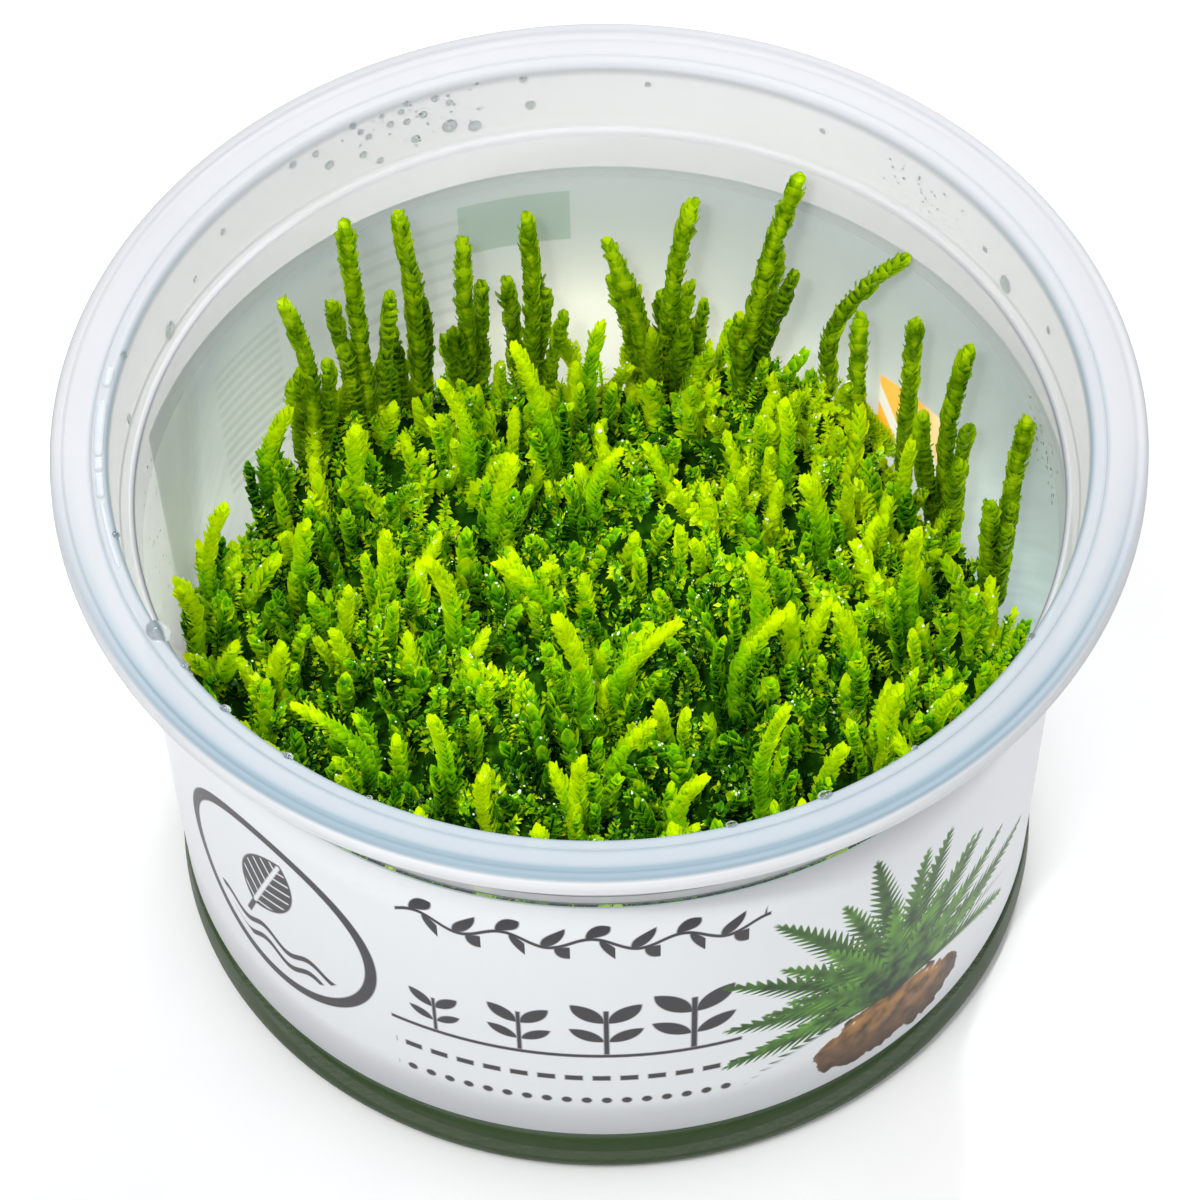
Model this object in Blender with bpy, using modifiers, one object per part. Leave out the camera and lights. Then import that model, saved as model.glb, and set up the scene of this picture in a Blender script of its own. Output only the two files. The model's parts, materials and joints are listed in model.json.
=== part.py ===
"""Weeping moss growing in its tissue culture cup.

A low round cup of thin milky plastic stands on a narrow ring and flares into a wide rim.
A printed label wraps its wall and leaves a narrow gap on the left. Inside lie a slab of
growth gel, the dense bed of moss on it, and the shoots that stand above the bed.
The cup stands on z = 0 with its axis on Z. The side that faces the viewer is -Y.
"""

import math

import bmesh
import bpy
from mathutils import Vector, noise
from mathutils.bvhtree import BVHTree

MM = 0.001

# The cup, in millimetres
CUP_HEIGHT = 60.0
WALL_THICKNESS = 0.8
WALL_RADIUS_LOW = 39.85
WALL_SLOPE = 0.085
ROUND_STEPS = 64

# Its foot: a low band below the label and the ring that it stands on
FOOT_HEIGHT = 5.9
FOOT_RADIUS = 40.4
FOOT_RING_OUTER = 39.2
FOOT_RING_INNER = 37.4
FOOT_RING_HEIGHT = 0.6
FLOOR_TOP = 1.6
FLOOR_RADIUS = 37.2
FLOOR_CORNER = 1.4

# Its rim: the step inside the wall, the wide opening, the flat top ring and the skirt
SHOULDER_HEIGHT = 52.3
OPENING_RADIUS = 45.2
RIDGE_RADIUS = 46.6
TOP_RING_INNER = 49.5
TOP_RING_OUTER = 50.1
RIM_RADIUS = 50.5
RIM_THICKNESS = 0.9
SKIRT_DEPTH = 2.1

# The label, in millimetres and degrees
LABEL_LOW = 6.5
LABEL_HIGH = 46.7
LABEL_GAP = 0.25
LABEL_THICKNESS = 0.2
LABEL_START = -172.0
LABEL_SWEEP = 336.0
LABEL_STEPS = 60

# The gel and the moss, in millimetres
GAP = 0.3
BED_GAP = 0.5
GEL_TOP = 9.5
BED_MIDDLE = 28.0
BED_EDGE_DROP = 3.0
BED_CELLS = 20
BED_CLUMP_SIZE = 7.5
BED_CLUMP_HEIGHT = 2.0
SHOOT_RADIUS = 0.95
SHOOT_RINGS = 7
SHOOT_SIDES_STEP = 1
SWAY = 0.45
LEAN_POWER = 2.0

# Where the moss bed swells or sinks: right, back, height and spread
TUSSOCKS = (
    (-25, 30, 5.0, 7),
    (-37, 12, 1.5, 6),
    (14, 36, 3.5, 5),
    (22, 32, 5.0, 6),
    (32, 25, -4.0, 5),
    (1, 41, -3.0, 6),
    (38, 14, -3.0, 6),
    (-8, 14, 1.0, 8),
    (25, -14, -2.0, 9),
    (-18, -24, 1.5, 8),
    (18, -14, -4.5, 4),
    (-16, -14, -4.0, 4),
    (-5, -10, -4.5, 4),
    (-28, 0, -4.0, 4),
    (-25, 14, -4.5, 4),
    (-12, 10, -4.5, 4),
    (3, 9, -5.0, 5),
    (17, 16, -4.0, 4),
    (12, 25, -4.5, 4),
    (10, -2, -4.0, 4),
    (-11, 20, -3.5, 4),
    (27, 1, -3.5, 4),
    (-6, -28, -4.0, 5),
    (13, -27, -4.0, 5),
    (-28, -19, -3.5, 4),
)

# Each tall shoot: right and back of its foot, then right, back and height of its tip
SHOOTS = (
    (-22, 30, -23.5, 32, 53.5),
    (-17, 34, -18.5, 36, 50),
    (-27, 26, -29.5, 26.5, 49),
    (-12, 36, -12.5, 38, 43.5),
    (-6.5, 37, -6.5, 39, 45.5),
    (4.5, 37, 1, 39, 41.5),
    (7, 36.5, 9.5, 38.5, 47.5),
    (14.5, 34, 19.5, 36, 54),
    (22, 31.5, 29.5, 30, 49),
    (29, 25, 30, 26, 44.5),
    (24.5, 28, 25, 30, 40.5),
    (33, 20, 35, 20, 47.5),
    (37.5, 11, 40, 11.5, 47.5),
    (-4.5, 23.5, -8, 24, 44.5),
    (-1, 31, 0.5, 32, 38),
    (-12.5, 23.5, -15, 23.5, 40),
    (-0.5, 16.5, 2.5, 16.5, 38),
    (-10, 16.5, -8, 16.5, 37),
    (21, 13, 19, 13, 37.5),
    (29, 4, 29.5, 4, 40.5),
    (14.5, 1.5, 14, 1.5, 40.5),
    (12.5, -4, 17.5, -4, 39),
    (1, -4.5, 8, -3.5, 37.5),
    (23.5, -3.5, 21.5, -3.5, 39),
    (14.5, -17, 17, -17, 41.5),
    (0.5, -14, 5, -14, 36),
    (-2.5, -19, -2, -19, 37),
    (6.5, -20.5, 9.5, -20.5, 35.5),
    (-2, -6.5, -4.5, -6.5, 42),
    (-5.5, 5.5, -10.5, 6, 35),
    (-14, 3, -16.5, 3, 39),
    (-14.5, -16.5, -16, -16.5, 40.5),
    (-11, -20.5, -11.5, -20.5, 36.5),
    (-22, -14, -30, -13, 38.5),
    (-37, 8.5, -35, 8.5, 41),
    (-28.5, 10, -27.5, 10, 36),
    (-31, -1, -30, -1, 31.5),
    (-31.5, 22, -29, 23, 37),
    (-38.5, 4, -40, 4, 35),
    (-23, 18.5, -23, 18.5, 39.5),
    (-20, 8, -20, 8, 37),
    (17.5, 21.5, 17.5, 21.5, 38.5),
    (29, 17, 29.5, 17, 37.5),
    (31, -8, 34, -8, 32.5),
    (20, -14, 22.5, -14, 31.5),
    (26.5, -11, 27.5, -11, 36),
)

# The shoots nearest the viewer stand behind the rim in curved rows: radius, count, degrees apart
FRONT_ROWS = ((30.0, 4, 24.0), (37.0, 5, 17.0))
FRONT_TIP = 38.0
FRONT_TIP_STEP = 2.5


def wall_radius(height):
    """Radius of the cup wall's outer side at a height, in millimetres."""
    return WALL_RADIUS_LOW + WALL_SLOPE * (height - LABEL_LOW)


def inner_radius(height):
    """Radius of the cup wall's inner side at a height, in millimetres."""
    return wall_radius(height) - WALL_THICKNESS


def material(name, colour, roughness, alpha=1.0):
    made = bpy.data.materials.new(name)
    made.use_nodes = True
    shader = made.node_tree.nodes["Principled BSDF"]
    shader.inputs["Base Color"].default_value = (*colour, 1.0)
    shader.inputs["Roughness"].default_value = roughness
    shader.inputs["Alpha"].default_value = alpha
    made.diffuse_color = (*colour, alpha)
    return made


def new_object(name, data, finish, collection):
    made = bpy.data.objects.new(name, data)
    data.materials.append(finish)
    collection.objects.link(made)
    return made


def profile_mesh(name, points):
    """An open line of (radius, height) points in millimetres, standing in the XZ plane."""
    mesh = bpy.data.meshes.new(name)
    vertices = [(radius * MM, 0.0, height * MM) for radius, height in points]
    edges = [(i, i + 1) for i in range(len(points) - 1)]
    mesh.from_pydata(vertices, edges, [])
    return mesh


def turn(made, sweep=360.0, steps=ROUND_STEPS):
    """Turns an object's profile round the Z axis."""
    screw = made.modifiers.new("Turn", "SCREW")
    screw.axis = "Z"
    screw.angle = math.radians(sweep)
    screw.steps = steps
    screw.render_steps = steps
    screw.use_merge_vertices = True
    screw.merge_threshold = 0.00001
    screw.use_smooth_shade = True
    return screw


def cup_profile():
    """From the middle of the floor up the inner wall, over the rim and down the outer side."""
    high = CUP_HEIGHT
    step_inner = inner_radius(SHOULDER_HEIGHT)
    step_outer = wall_radius(SHOULDER_HEIGHT)
    corner_top = FLOOR_TOP + FLOOR_CORNER
    skirt_low = high - SKIRT_DEPTH
    skirt_inner = RIM_RADIUS - RIM_THICKNESS
    inside = [
        (0.0, FLOOR_TOP),
        (FLOOR_RADIUS, FLOOR_TOP),
        (FLOOR_RADIUS + 0.8 * FLOOR_CORNER, FLOOR_TOP + 0.3 * FLOOR_CORNER),
        (inner_radius(corner_top), corner_top),
        (step_inner, SHOULDER_HEIGHT),
        (step_inner + 0.6, SHOULDER_HEIGHT + 0.2),
    ]
    rim = [
        (OPENING_RADIUS, high - 0.8),
        (OPENING_RADIUS + 0.4, high - 0.5),
        (RIDGE_RADIUS, high - 0.4),
        (RIDGE_RADIUS + 0.3, high - 0.55),
        (TOP_RING_INNER - 0.3, high - 0.2),
        (TOP_RING_INNER, high),
        (TOP_RING_OUTER, high),
        (RIM_RADIUS, high - 0.35),
        (RIM_RADIUS, skirt_low),
        (skirt_inner, skirt_low),
        (skirt_inner - 0.1, high - RIM_THICKNESS - 0.3),
        (RIDGE_RADIUS - 0.1, high - RIM_THICKNESS - 0.6),
        (RIDGE_RADIUS - 0.6, high - RIM_THICKNESS - 1.1),
    ]
    outside = [
        (step_outer + 0.75, SHOULDER_HEIGHT + 0.3),
        (step_outer + 0.15, SHOULDER_HEIGHT - 0.9),
        (wall_radius(SHOULDER_HEIGHT - 2.2), SHOULDER_HEIGHT - 2.2),
        (wall_radius(FOOT_HEIGHT), FOOT_HEIGHT),
        (FOOT_RADIUS, FOOT_HEIGHT - 0.5),
        (FOOT_RADIUS, 1.5),
        (FOOT_RADIUS - 0.4, 0.5),
        (FOOT_RING_OUTER, 0.0),
        (FOOT_RING_INNER, 0.0),
        (FOOT_RING_INNER - 0.4, FOOT_RING_HEIGHT),
        (0.0, FOOT_RING_HEIGHT),
    ]
    return inside + rim + outside


def make_cup(collection):
    plastic = material("milky_plastic", (0.88, 0.91, 0.93), 0.25, alpha=0.45)
    cup = new_object("cup", profile_mesh("cup", cup_profile()), plastic, collection)
    turn(cup)
    return cup


def make_label(collection):
    """A thin skin just off the wall. Its two ends leave a gap on the left of the cup."""
    film = material("label_film", (0.86, 0.87, 0.88), 0.45)
    line = [
        (wall_radius(LABEL_HIGH) + LABEL_GAP, LABEL_HIGH),
        (wall_radius(LABEL_LOW) + LABEL_GAP, LABEL_LOW),
    ]
    label = new_object("label", profile_mesh("label", line), film, collection)
    label.rotation_euler.z = math.radians(LABEL_START)
    turn(label, LABEL_SWEEP, LABEL_STEPS)
    shell = label.modifiers.new("Film thickness", "SOLIDIFY")
    shell.thickness = LABEL_THICKNESS * MM
    shell.offset = 1.0
    return label


def make_gel(collection):
    """The clear jelly that feeds the moss, set in the bottom of the cup."""
    clear_jelly = material("growth_gel", (0.55, 0.62, 0.45), 0.1, alpha=0.6)
    low = FLOOR_TOP + GAP
    corner_top = low + FLOOR_CORNER
    line = [
        (0.0, GEL_TOP),
        (inner_radius(GEL_TOP) - GAP, GEL_TOP),
        (inner_radius(corner_top) - GAP, corner_top),
        (FLOOR_RADIUS - 2.0 * GAP, low),
        (0.0, low),
    ]
    gel = new_object("growth_gel", profile_mesh("growth_gel", line), clear_jelly, collection)
    turn(gel)
    return gel


def bed_height(right, back):
    """Height of the moss bed's top, in millimetres: a low dome with tussocks and small clumps."""
    share = min(1.0, math.hypot(right, back) / inner_radius(BED_MIDDLE))
    height = BED_MIDDLE - BED_EDGE_DROP * share**2.5
    for x, y, rise, spread in TUSSOCKS:
        distance = math.hypot(right - x, back - y)
        height += rise * math.exp(-((distance / spread) ** 2))
    clump = noise.noise(Vector((right, back, 3.0)) / BED_CLUMP_SIZE)
    return height + BED_CLUMP_HEIGHT * clump


def disc_from_square(u, v):
    """Maps a point of the square from -1 to 1 onto the unit disc."""
    return u * math.sqrt(1.0 - v * v / 2.0), v * math.sqrt(1.0 - u * u / 2.0)


def make_bed(collection):
    """A square grid drawn out to a disc, lifted to the bed's height and extruded down to the gel."""
    moss = material("moss_bed", (0.06, 0.22, 0.02), 0.6)
    bottom = GEL_TOP + GAP
    mesh = bpy.data.meshes.new("moss_bed")
    shape = bmesh.new()
    bmesh.ops.create_grid(shape, x_segments=BED_CELLS, y_segments=BED_CELLS, size=1.0)
    for vertex in shape.verts:
        x, y = disc_from_square(vertex.co.x, vertex.co.y)
        height = BED_MIDDLE
        for _ in range(3):
            reach = inner_radius(height) - BED_GAP
            height = bed_height(x * reach, y * reach)
        vertex.co = Vector((x * reach, y * reach, height)) * MM
    border = [edge for edge in shape.edges if edge.is_boundary]
    sides = bmesh.ops.extrude_edge_only(shape, edges=border)["geom"]
    low_verts = [item for item in sides if isinstance(item, bmesh.types.BMVert)]
    low_edges = [item for item in sides if isinstance(item, bmesh.types.BMEdge)]
    foot_reach = inner_radius(bottom) - BED_GAP
    for vertex in low_verts:
        outward = Vector((vertex.co.x, vertex.co.y, 0.0)).normalized()
        vertex.co = (outward * foot_reach + Vector((0.0, 0.0, bottom))) * MM
    low_edges = [edge for edge in low_edges if edge.is_boundary]
    bmesh.ops.contextual_create(shape, geom=low_verts + low_edges)
    bmesh.ops.recalc_face_normals(shape, faces=shape.faces)
    tree = BVHTree.FromBMesh(shape)
    shape.to_mesh(mesh)
    shape.free()
    for face in mesh.polygons:
        face.use_smooth = True
    return new_object("moss_bed", mesh, moss, collection), tree


def ground_under(tree, right, back, radius):
    """The bed's highest point under a shoot's foot, in millimetres."""
    heights = []
    for turn_share in range(7):
        angle = turn_share * math.pi / 3.0
        reach = radius if turn_share < 6 else 0.0
        x = right + reach * math.cos(angle)
        y = back + reach * math.sin(angle)
        hit = tree.ray_cast(Vector((x * MM, y * MM, CUP_HEIGHT * MM)), Vector((0, 0, -1)))[0]
        if hit is not None:
            heights.append(hit.z / MM)
    return max(heights)


def shoot_width(share):
    """A shoot's radius from foot to tip, as a share of its widest."""
    swell = 0.72 + 0.28 * math.sin(math.pi * min(1.0, share * 1.25))
    tip = max(0.0, share - 0.7) / 0.3
    return swell * (1.0 - 0.72 * tip**1.6)


def make_shoot(number, plan, tree, finish, collection):
    """A tapered stem of packed leaves that stands on the bed and leans more towards its tip."""
    foot_right, foot_back, tip_right, tip_back, tip_height = plan
    foot_height = ground_under(tree, foot_right, foot_back, SHOOT_RADIUS) + GAP
    curve = bpy.data.curves.new(f"shoot_{number:02d}", "CURVE")
    curve.dimensions = "3D"
    curve.bevel_depth = SHOOT_RADIUS * MM
    curve.bevel_resolution = SHOOT_SIDES_STEP
    curve.use_fill_caps = True
    curve.twist_mode = "MINIMUM"
    spline = curve.splines.new("POLY")
    spline.points.add(SHOOT_RINGS - 1)
    for ring, point in enumerate(spline.points):
        share = ring / (SHOOT_RINGS - 1)
        lean = share**LEAN_POWER
        sway = SWAY * math.sin(math.pi * share) * math.cos(2.4 * number)
        x = foot_right + (tip_right - foot_right) * lean + sway
        y = foot_back + (tip_back - foot_back) * lean
        z = foot_height + (tip_height - foot_height) * share
        point.co = (x * MM, y * MM, z * MM, 1.0)
        point.radius = shoot_width(share)
    return new_object(curve.name, curve, finish, collection)


def front_shoots():
    """Plans for the shoots in the front of the cup, spread along arcs round its axis."""
    plans = []
    for radius, count, spacing in FRONT_ROWS:
        for place in range(count):
            angle = math.radians(-90.0 + spacing * (place - (count - 1) / 2.0))
            x = radius * math.cos(angle)
            y = radius * math.sin(angle)
            lean = 1.5 * math.cos(3.0 * place + radius)
            tip_height = FRONT_TIP + FRONT_TIP_STEP * math.sin(2.0 * place + radius)
            plans.append((x, y, x + lean, y + 0.5, tip_height))
    return plans


def main():
    for made in list(bpy.data.objects):
        bpy.data.objects.remove(made)
    parts = bpy.data.collections.new("weeping_moss_cup")
    bpy.context.scene.collection.children.link(parts)
    make_cup(parts)
    make_label(parts)
    make_gel(parts)
    _, tree = make_bed(parts)
    fresh_moss = material("fresh_moss", (0.32, 0.62, 0.02), 0.5)
    for number, plan in enumerate([*SHOOTS, *front_shoots()], start=1):
        make_shoot(number, plan, tree, fresh_moss, parts)
    bpy.context.view_layer.update()


main()
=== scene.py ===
# %% [markdown]
# # Weeping moss in its tissue culture cup
#
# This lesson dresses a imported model: a low round cup of milky plastic with a printed label, a
# slab of growth gel in its foot and a dense bed of weeping moss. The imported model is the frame.
# It gives every place and size, and nothing in it is moved here. We build what the eye wants:
# thousands of small leaves, a soft see-through plastic, a printed film and a few drops of water.

# %% Load the frame
import json
import math
import random

import bmesh
import bpy
import numpy as np
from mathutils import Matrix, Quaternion, Vector

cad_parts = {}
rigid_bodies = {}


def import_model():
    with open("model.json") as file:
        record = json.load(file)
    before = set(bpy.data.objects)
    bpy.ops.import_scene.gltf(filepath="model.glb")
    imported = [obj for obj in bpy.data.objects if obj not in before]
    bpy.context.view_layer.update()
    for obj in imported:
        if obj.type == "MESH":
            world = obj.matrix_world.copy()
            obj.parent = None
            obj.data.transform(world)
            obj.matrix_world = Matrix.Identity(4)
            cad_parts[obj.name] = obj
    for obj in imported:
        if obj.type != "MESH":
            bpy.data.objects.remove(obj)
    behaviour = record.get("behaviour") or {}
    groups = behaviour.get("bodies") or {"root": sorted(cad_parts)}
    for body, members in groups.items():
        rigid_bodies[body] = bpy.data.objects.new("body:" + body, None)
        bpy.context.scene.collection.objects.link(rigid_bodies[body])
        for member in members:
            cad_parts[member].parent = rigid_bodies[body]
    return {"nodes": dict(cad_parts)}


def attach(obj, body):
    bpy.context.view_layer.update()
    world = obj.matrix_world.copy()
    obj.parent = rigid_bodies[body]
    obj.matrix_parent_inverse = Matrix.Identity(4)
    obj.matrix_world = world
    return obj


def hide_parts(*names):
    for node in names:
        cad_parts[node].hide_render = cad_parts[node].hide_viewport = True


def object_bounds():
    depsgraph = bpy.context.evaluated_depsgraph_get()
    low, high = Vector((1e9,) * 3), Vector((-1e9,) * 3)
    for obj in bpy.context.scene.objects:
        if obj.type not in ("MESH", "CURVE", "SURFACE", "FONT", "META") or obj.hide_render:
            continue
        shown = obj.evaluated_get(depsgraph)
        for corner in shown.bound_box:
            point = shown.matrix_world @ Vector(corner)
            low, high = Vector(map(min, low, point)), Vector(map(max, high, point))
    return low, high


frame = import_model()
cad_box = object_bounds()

MM = 0.001
MERGE = 0.01 * MM
nodes = frame["nodes"]
shoot_names = sorted(name for name in nodes if name.startswith("shoot_"))
rim_height = cad_box[1].z
print("frame:", len(nodes), "nodes,", len(shoot_names), "single shoots, rim at", round(rim_height, 4), "m")

# %% [markdown]
# ## The camera
#
# The cup is seen from high in front through a long lens, so its far rim is nearly as wide as its
# near one. A long lens far away gives that. We could place the camera by eye, but three numbers
# are enough: how far it stands from the rim, how high it looks down, and how little it leans.

# %% Place the camera
CAMERA_DISTANCE = 1.1
CAMERA_ELEVATION = math.radians(51.5)
CAMERA_LEAN = math.radians(1.2)
FOCAL_PIXELS = 11975.0
FRAME_PIXELS = 1200.0
SENSOR_WIDTH = 36.0
AIM = Vector((-0.0002, 0.0, 0.0359))

camera_data = bpy.data.cameras.new("camera")
camera_data.sensor_width = SENSOR_WIDTH
camera_data.lens = SENSOR_WIDTH * FOCAL_PIXELS / FRAME_PIXELS
camera = bpy.data.objects.new("camera", camera_data)
bpy.context.scene.collection.objects.link(camera)
bpy.context.scene.camera = camera
eye_back = CAMERA_DISTANCE * math.cos(CAMERA_ELEVATION)
eye_up = CAMERA_DISTANCE * math.sin(CAMERA_ELEVATION)
camera.location = (0.0, -eye_back, rim_height + eye_up)
camera.rotation_mode = "QUATERNION"
gaze = (AIM - camera.location).to_track_quat("-Z", "Y")
camera.rotation_quaternion = gaze @ Quaternion((0.0, 0.0, 1.0), -CAMERA_LEAN)
print("lens", round(camera_data.lens, 1), "mm")

# %% [markdown]
# ## One way to add a node
#
# Shaders and Geometry Nodes are both trees of nodes. Wiring them by hand takes many lines, so we
# write one method that takes a node's type, its settings and what goes into its sockets. What it
# returns is a small wrapper round the output. Python's own signs work on that wrapper and add Math
# nodes, so a formula in this script reads like a formula.

# %% Sockets that take Python's signs
def open_socket(sockets, name):
    """The socket of that name or position among those that the node's settings leave on."""
    shown = [socket for socket in sockets if socket.enabled]
    if isinstance(name, int):
        return shown[name]
    return next(socket for socket in shown if name in (socket.name, socket.identifier))


class Value:
    """An output of a node, which adds Math nodes when Python's signs are used on it."""

    def __init__(self, maker, node, socket):
        self.maker = maker
        self.node = node
        self.socket = socket

    def out(self, name):
        return Value(self.maker, self.node, open_socket(self.node.outputs, name))

    def maths(self, operation, *values):
        inputs = dict(enumerate(values))
        return self.maker.add("ShaderNodeMath", {"operation": operation}, inputs)

    def __add__(self, other):
        return self.maths("ADD", self, other)

    def __radd__(self, other):
        return self.maths("ADD", other, self)

    def __sub__(self, other):
        return self.maths("SUBTRACT", self, other)

    def __rsub__(self, other):
        return self.maths("SUBTRACT", other, self)

    def __mul__(self, other):
        return self.maths("MULTIPLY", self, other)

    def __rmul__(self, other):
        return self.maths("MULTIPLY", other, self)

    def __truediv__(self, other):
        return self.maths("DIVIDE", self, other)

    def __pow__(self, other):
        return self.maths("POWER", self, other)

    def __abs__(self):
        return self.maths("ABSOLUTE", self)

    def sine(self):
        return self.maths("SINE", self)

    def cosine(self):
        return self.maths("COSINE", self)

    def root(self):
        return self.maths("SQRT", self)

    def floor(self):
        return self.maths("FLOOR", self)

    def nearest(self):
        return self.maths("ROUND", self)

    def modulo(self, other):
        return self.maths("FLOORED_MODULO", self, other)

    def bearing(self, other):
        """The angle of a point whose sides are this value and another."""
        return self.maths("ARCTAN2", self, other)

    def least(self, other):
        return self.maths("MINIMUM", self, other)

    def most(self, other):
        return self.maths("MAXIMUM", self, other)

    def between(self, low, high):
        """Rises from 0 at low to 1 at high, and stays within them."""
        inputs = {"Value": self, "From Min": low, "From Max": high}
        return self.maker.add("ShaderNodeMapRange", {"clamp": True}, inputs)


class Maker:
    """Adds nodes to one tree, a shader's or a shape's."""

    def __init__(self, tree):
        self.tree = tree

    def add(self, kind, settings=None, inputs=None):
        node = self.tree.nodes.new(kind)
        for name, value in (settings or {}).items():
            if name == "stops":
                self.set_stops(node.color_ramp, value)
            else:
                setattr(node, name, value)
        for name, value in (inputs or {}).items():
            self.feed(open_socket(node.inputs, name), value)
        shown = [socket for socket in node.outputs if socket.enabled]
        return Value(self, node, shown[0] if shown else None)

    def feed(self, socket, value):
        for item in value if isinstance(value, list) else [value]:
            if isinstance(item, Value):
                self.tree.links.new(item.socket, socket)
            else:
                socket.default_value = item

    def set_stops(self, ramp, stops):
        while len(ramp.elements) < len(stops):
            ramp.elements.new(0.5)
        for element, (place, colour) in zip(ramp.elements, stops):
            element.position = place
            element.color = (*colour, 1.0)

    def tint(self, share, low, high, way="MIX"):
        """A colour that goes from low to high as share goes from 0 to 1."""
        ends = [(*end, 1.0) if isinstance(end, tuple) else end for end in (low, high)]
        settings = {"data_type": "RGBA", "blend_type": way}
        return self.add("ShaderNodeMix", settings, {"Factor": share, "A": ends[0], "B": ends[1]})

    def place(self, kind="Object"):
        """Where a point lies on the piece: its object coordinates, or its map with kind UV."""
        return self.add("ShaderNodeTexCoord").out(kind)

    def split(self, vector):
        return self.add("ShaderNodeSeparateXYZ", {}, {"Vector": vector})

    def noise(self, scale, detail=0.0, place=None):
        """A soft cloudy pattern from 0 to 1. Without a place it is read where the tree stands."""
        inputs = {"Scale": scale, "Detail": detail}
        if place is not None:
            inputs["Vector"] = place
        return self.add("ShaderNodeTexNoise", {}, inputs)

    def stored(self, name, kind="FLOAT"):
        """A number or vector that an earlier step kept on the points of a shape."""
        return self.add("GeometryNodeInputNamedAttribute", {"data_type": kind}, {"Name": name})


def far(x, y):
    """Distance of a point from where x and y are zero."""
    return (x * x + y * y).root()


print("nodes can be added in one call")

# %% [markdown]
# ## Small helpers for shapes and finishes
#
# A finish here is always one Principled shader, so that other programs can read it too. Shapes
# with modifiers are turned into plain meshes at the origin once they are right, because only a
# plain mesh can be handed on.

# %% Finishes, plain meshes and soft corners
def finish(name, **constants):
    """A new material with one Principled shader. Constants are set straight on its sockets."""
    made = bpy.data.materials.new(name)
    made.use_nodes = True
    shader = made.node_tree.nodes["Principled BSDF"]
    for socket, value in constants.items():
        shader.inputs[socket.replace("_", " ")].default_value = value
    return made, Maker(made.node_tree), shader


def connect(maker, shader, **links):
    """Feeds what varies over a surface into the shader's sockets."""
    for socket, value in links.items():
        maker.feed(shader.inputs[socket.replace("_", " ")], value)


def place_object(name, mesh, *finishes):
    made = bpy.data.objects.new(name, mesh)
    for item in finishes:
        mesh.materials.append(item)
    bpy.context.scene.collection.objects.link(made)
    return made


def plain(made):
    """The same object as a plain mesh, with every modifier worked out and taken off."""
    bpy.context.view_layer.update()
    graph = bpy.context.evaluated_depsgraph_get()
    mesh = bpy.data.meshes.new_from_object(made.evaluated_get(graph), depsgraph=graph)
    made.modifiers.clear()
    made.data = mesh
    return made


def rounded(corners, steps=5):
    """An open line whose inner corners are curves. Each corner is (radius, height, fillet)."""
    path = [Vector(corners[0][:2])]
    for before, corner, after in zip(corners, corners[1:], corners[2:]):
        point = Vector(corner[:2])
        arms = [Vector(before[:2]) - point, Vector(after[:2]) - point]
        reach = min(corner[2], 0.48 * arms[0].length, 0.48 * arms[1].length)
        start, end = (point + arm.normalized() * reach for arm in arms)
        for step in range(steps + 1 if reach > 0.0 else 1):
            share = step / steps
            path.append(start.lerp(point, share).lerp(point.lerp(end, share), share))
    path.append(Vector(corners[-1][:2]))
    return path


def turned(name, corners, steps, *finishes):
    """A profile in millimetres turned round the Z axis, with soft corners and smooth shading."""
    path = rounded(corners)
    mesh = bpy.data.meshes.new(name)
    vertices = [(point.x * MM, 0.0, point.y * MM) for point in path]
    mesh.from_pydata(vertices, [(i, i + 1) for i in range(len(path) - 1)], [])
    made = place_object(name, mesh, *finishes)
    screw = made.modifiers.new("Turn", "SCREW")
    screw.steps = steps
    screw.render_steps = steps
    screw.use_merge_vertices = True
    screw.merge_threshold = MERGE
    return plain(made)


print("helpers are ready")

# %% [markdown]
# ## Light and floor
#
# The cup stands in an even, bright studio, on white. A sky of plain white light does most of the
# work. One broad lamp in front and above gives the moss its shape, and a smaller one at the back
# draws thin highlights on wet leaves and on the rim. Two snoots, lamps with a narrow round pool of
# light, brighten the moss alone and fade out at the rim. Colours are shown as they are, without
# the film look, because the moss is a very pure lime green that a film look would wash out. Light
# that has gone from leaf to leaf many times adds very little, so we stop it after two turns. With
# so few lamps Cycles picks among them faster without its light tree.

# %% Set up the studio
SKY_STRENGTH = 0.74
BOUNCES = 6
SOFT_BOUNCES = 2
FLOOR_SIZE = 4.0

bpy.context.scene.view_settings.view_transform = "Standard"
light = bpy.context.scene.cycles
light.max_bounces = BOUNCES
light.diffuse_bounces = SOFT_BOUNCES
light.use_light_tree = False
world = bpy.data.worlds.new("studio")
world.use_nodes = True
sky = world.node_tree.nodes["Background"].inputs
sky["Color"].default_value = (1.0, 1.0, 1.0, 1.0)
sky["Strength"].default_value = SKY_STRENGTH
bpy.context.scene.world = world


def hang_lamp(name, kind, place, aim, power, **settings):
    """A lamp that faces a point. Places are in metres."""
    data = bpy.data.lights.new(name, kind)
    data.energy = power
    for setting, value in settings.items():
        setattr(data, setting, value)
    lamp = bpy.data.objects.new(name, data)
    lamp.location = place
    lamp.rotation_euler = (Vector(aim) - Vector(place)).to_track_quat("-Z", "Y").to_euler()
    bpy.context.scene.collection.objects.link(lamp)


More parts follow.
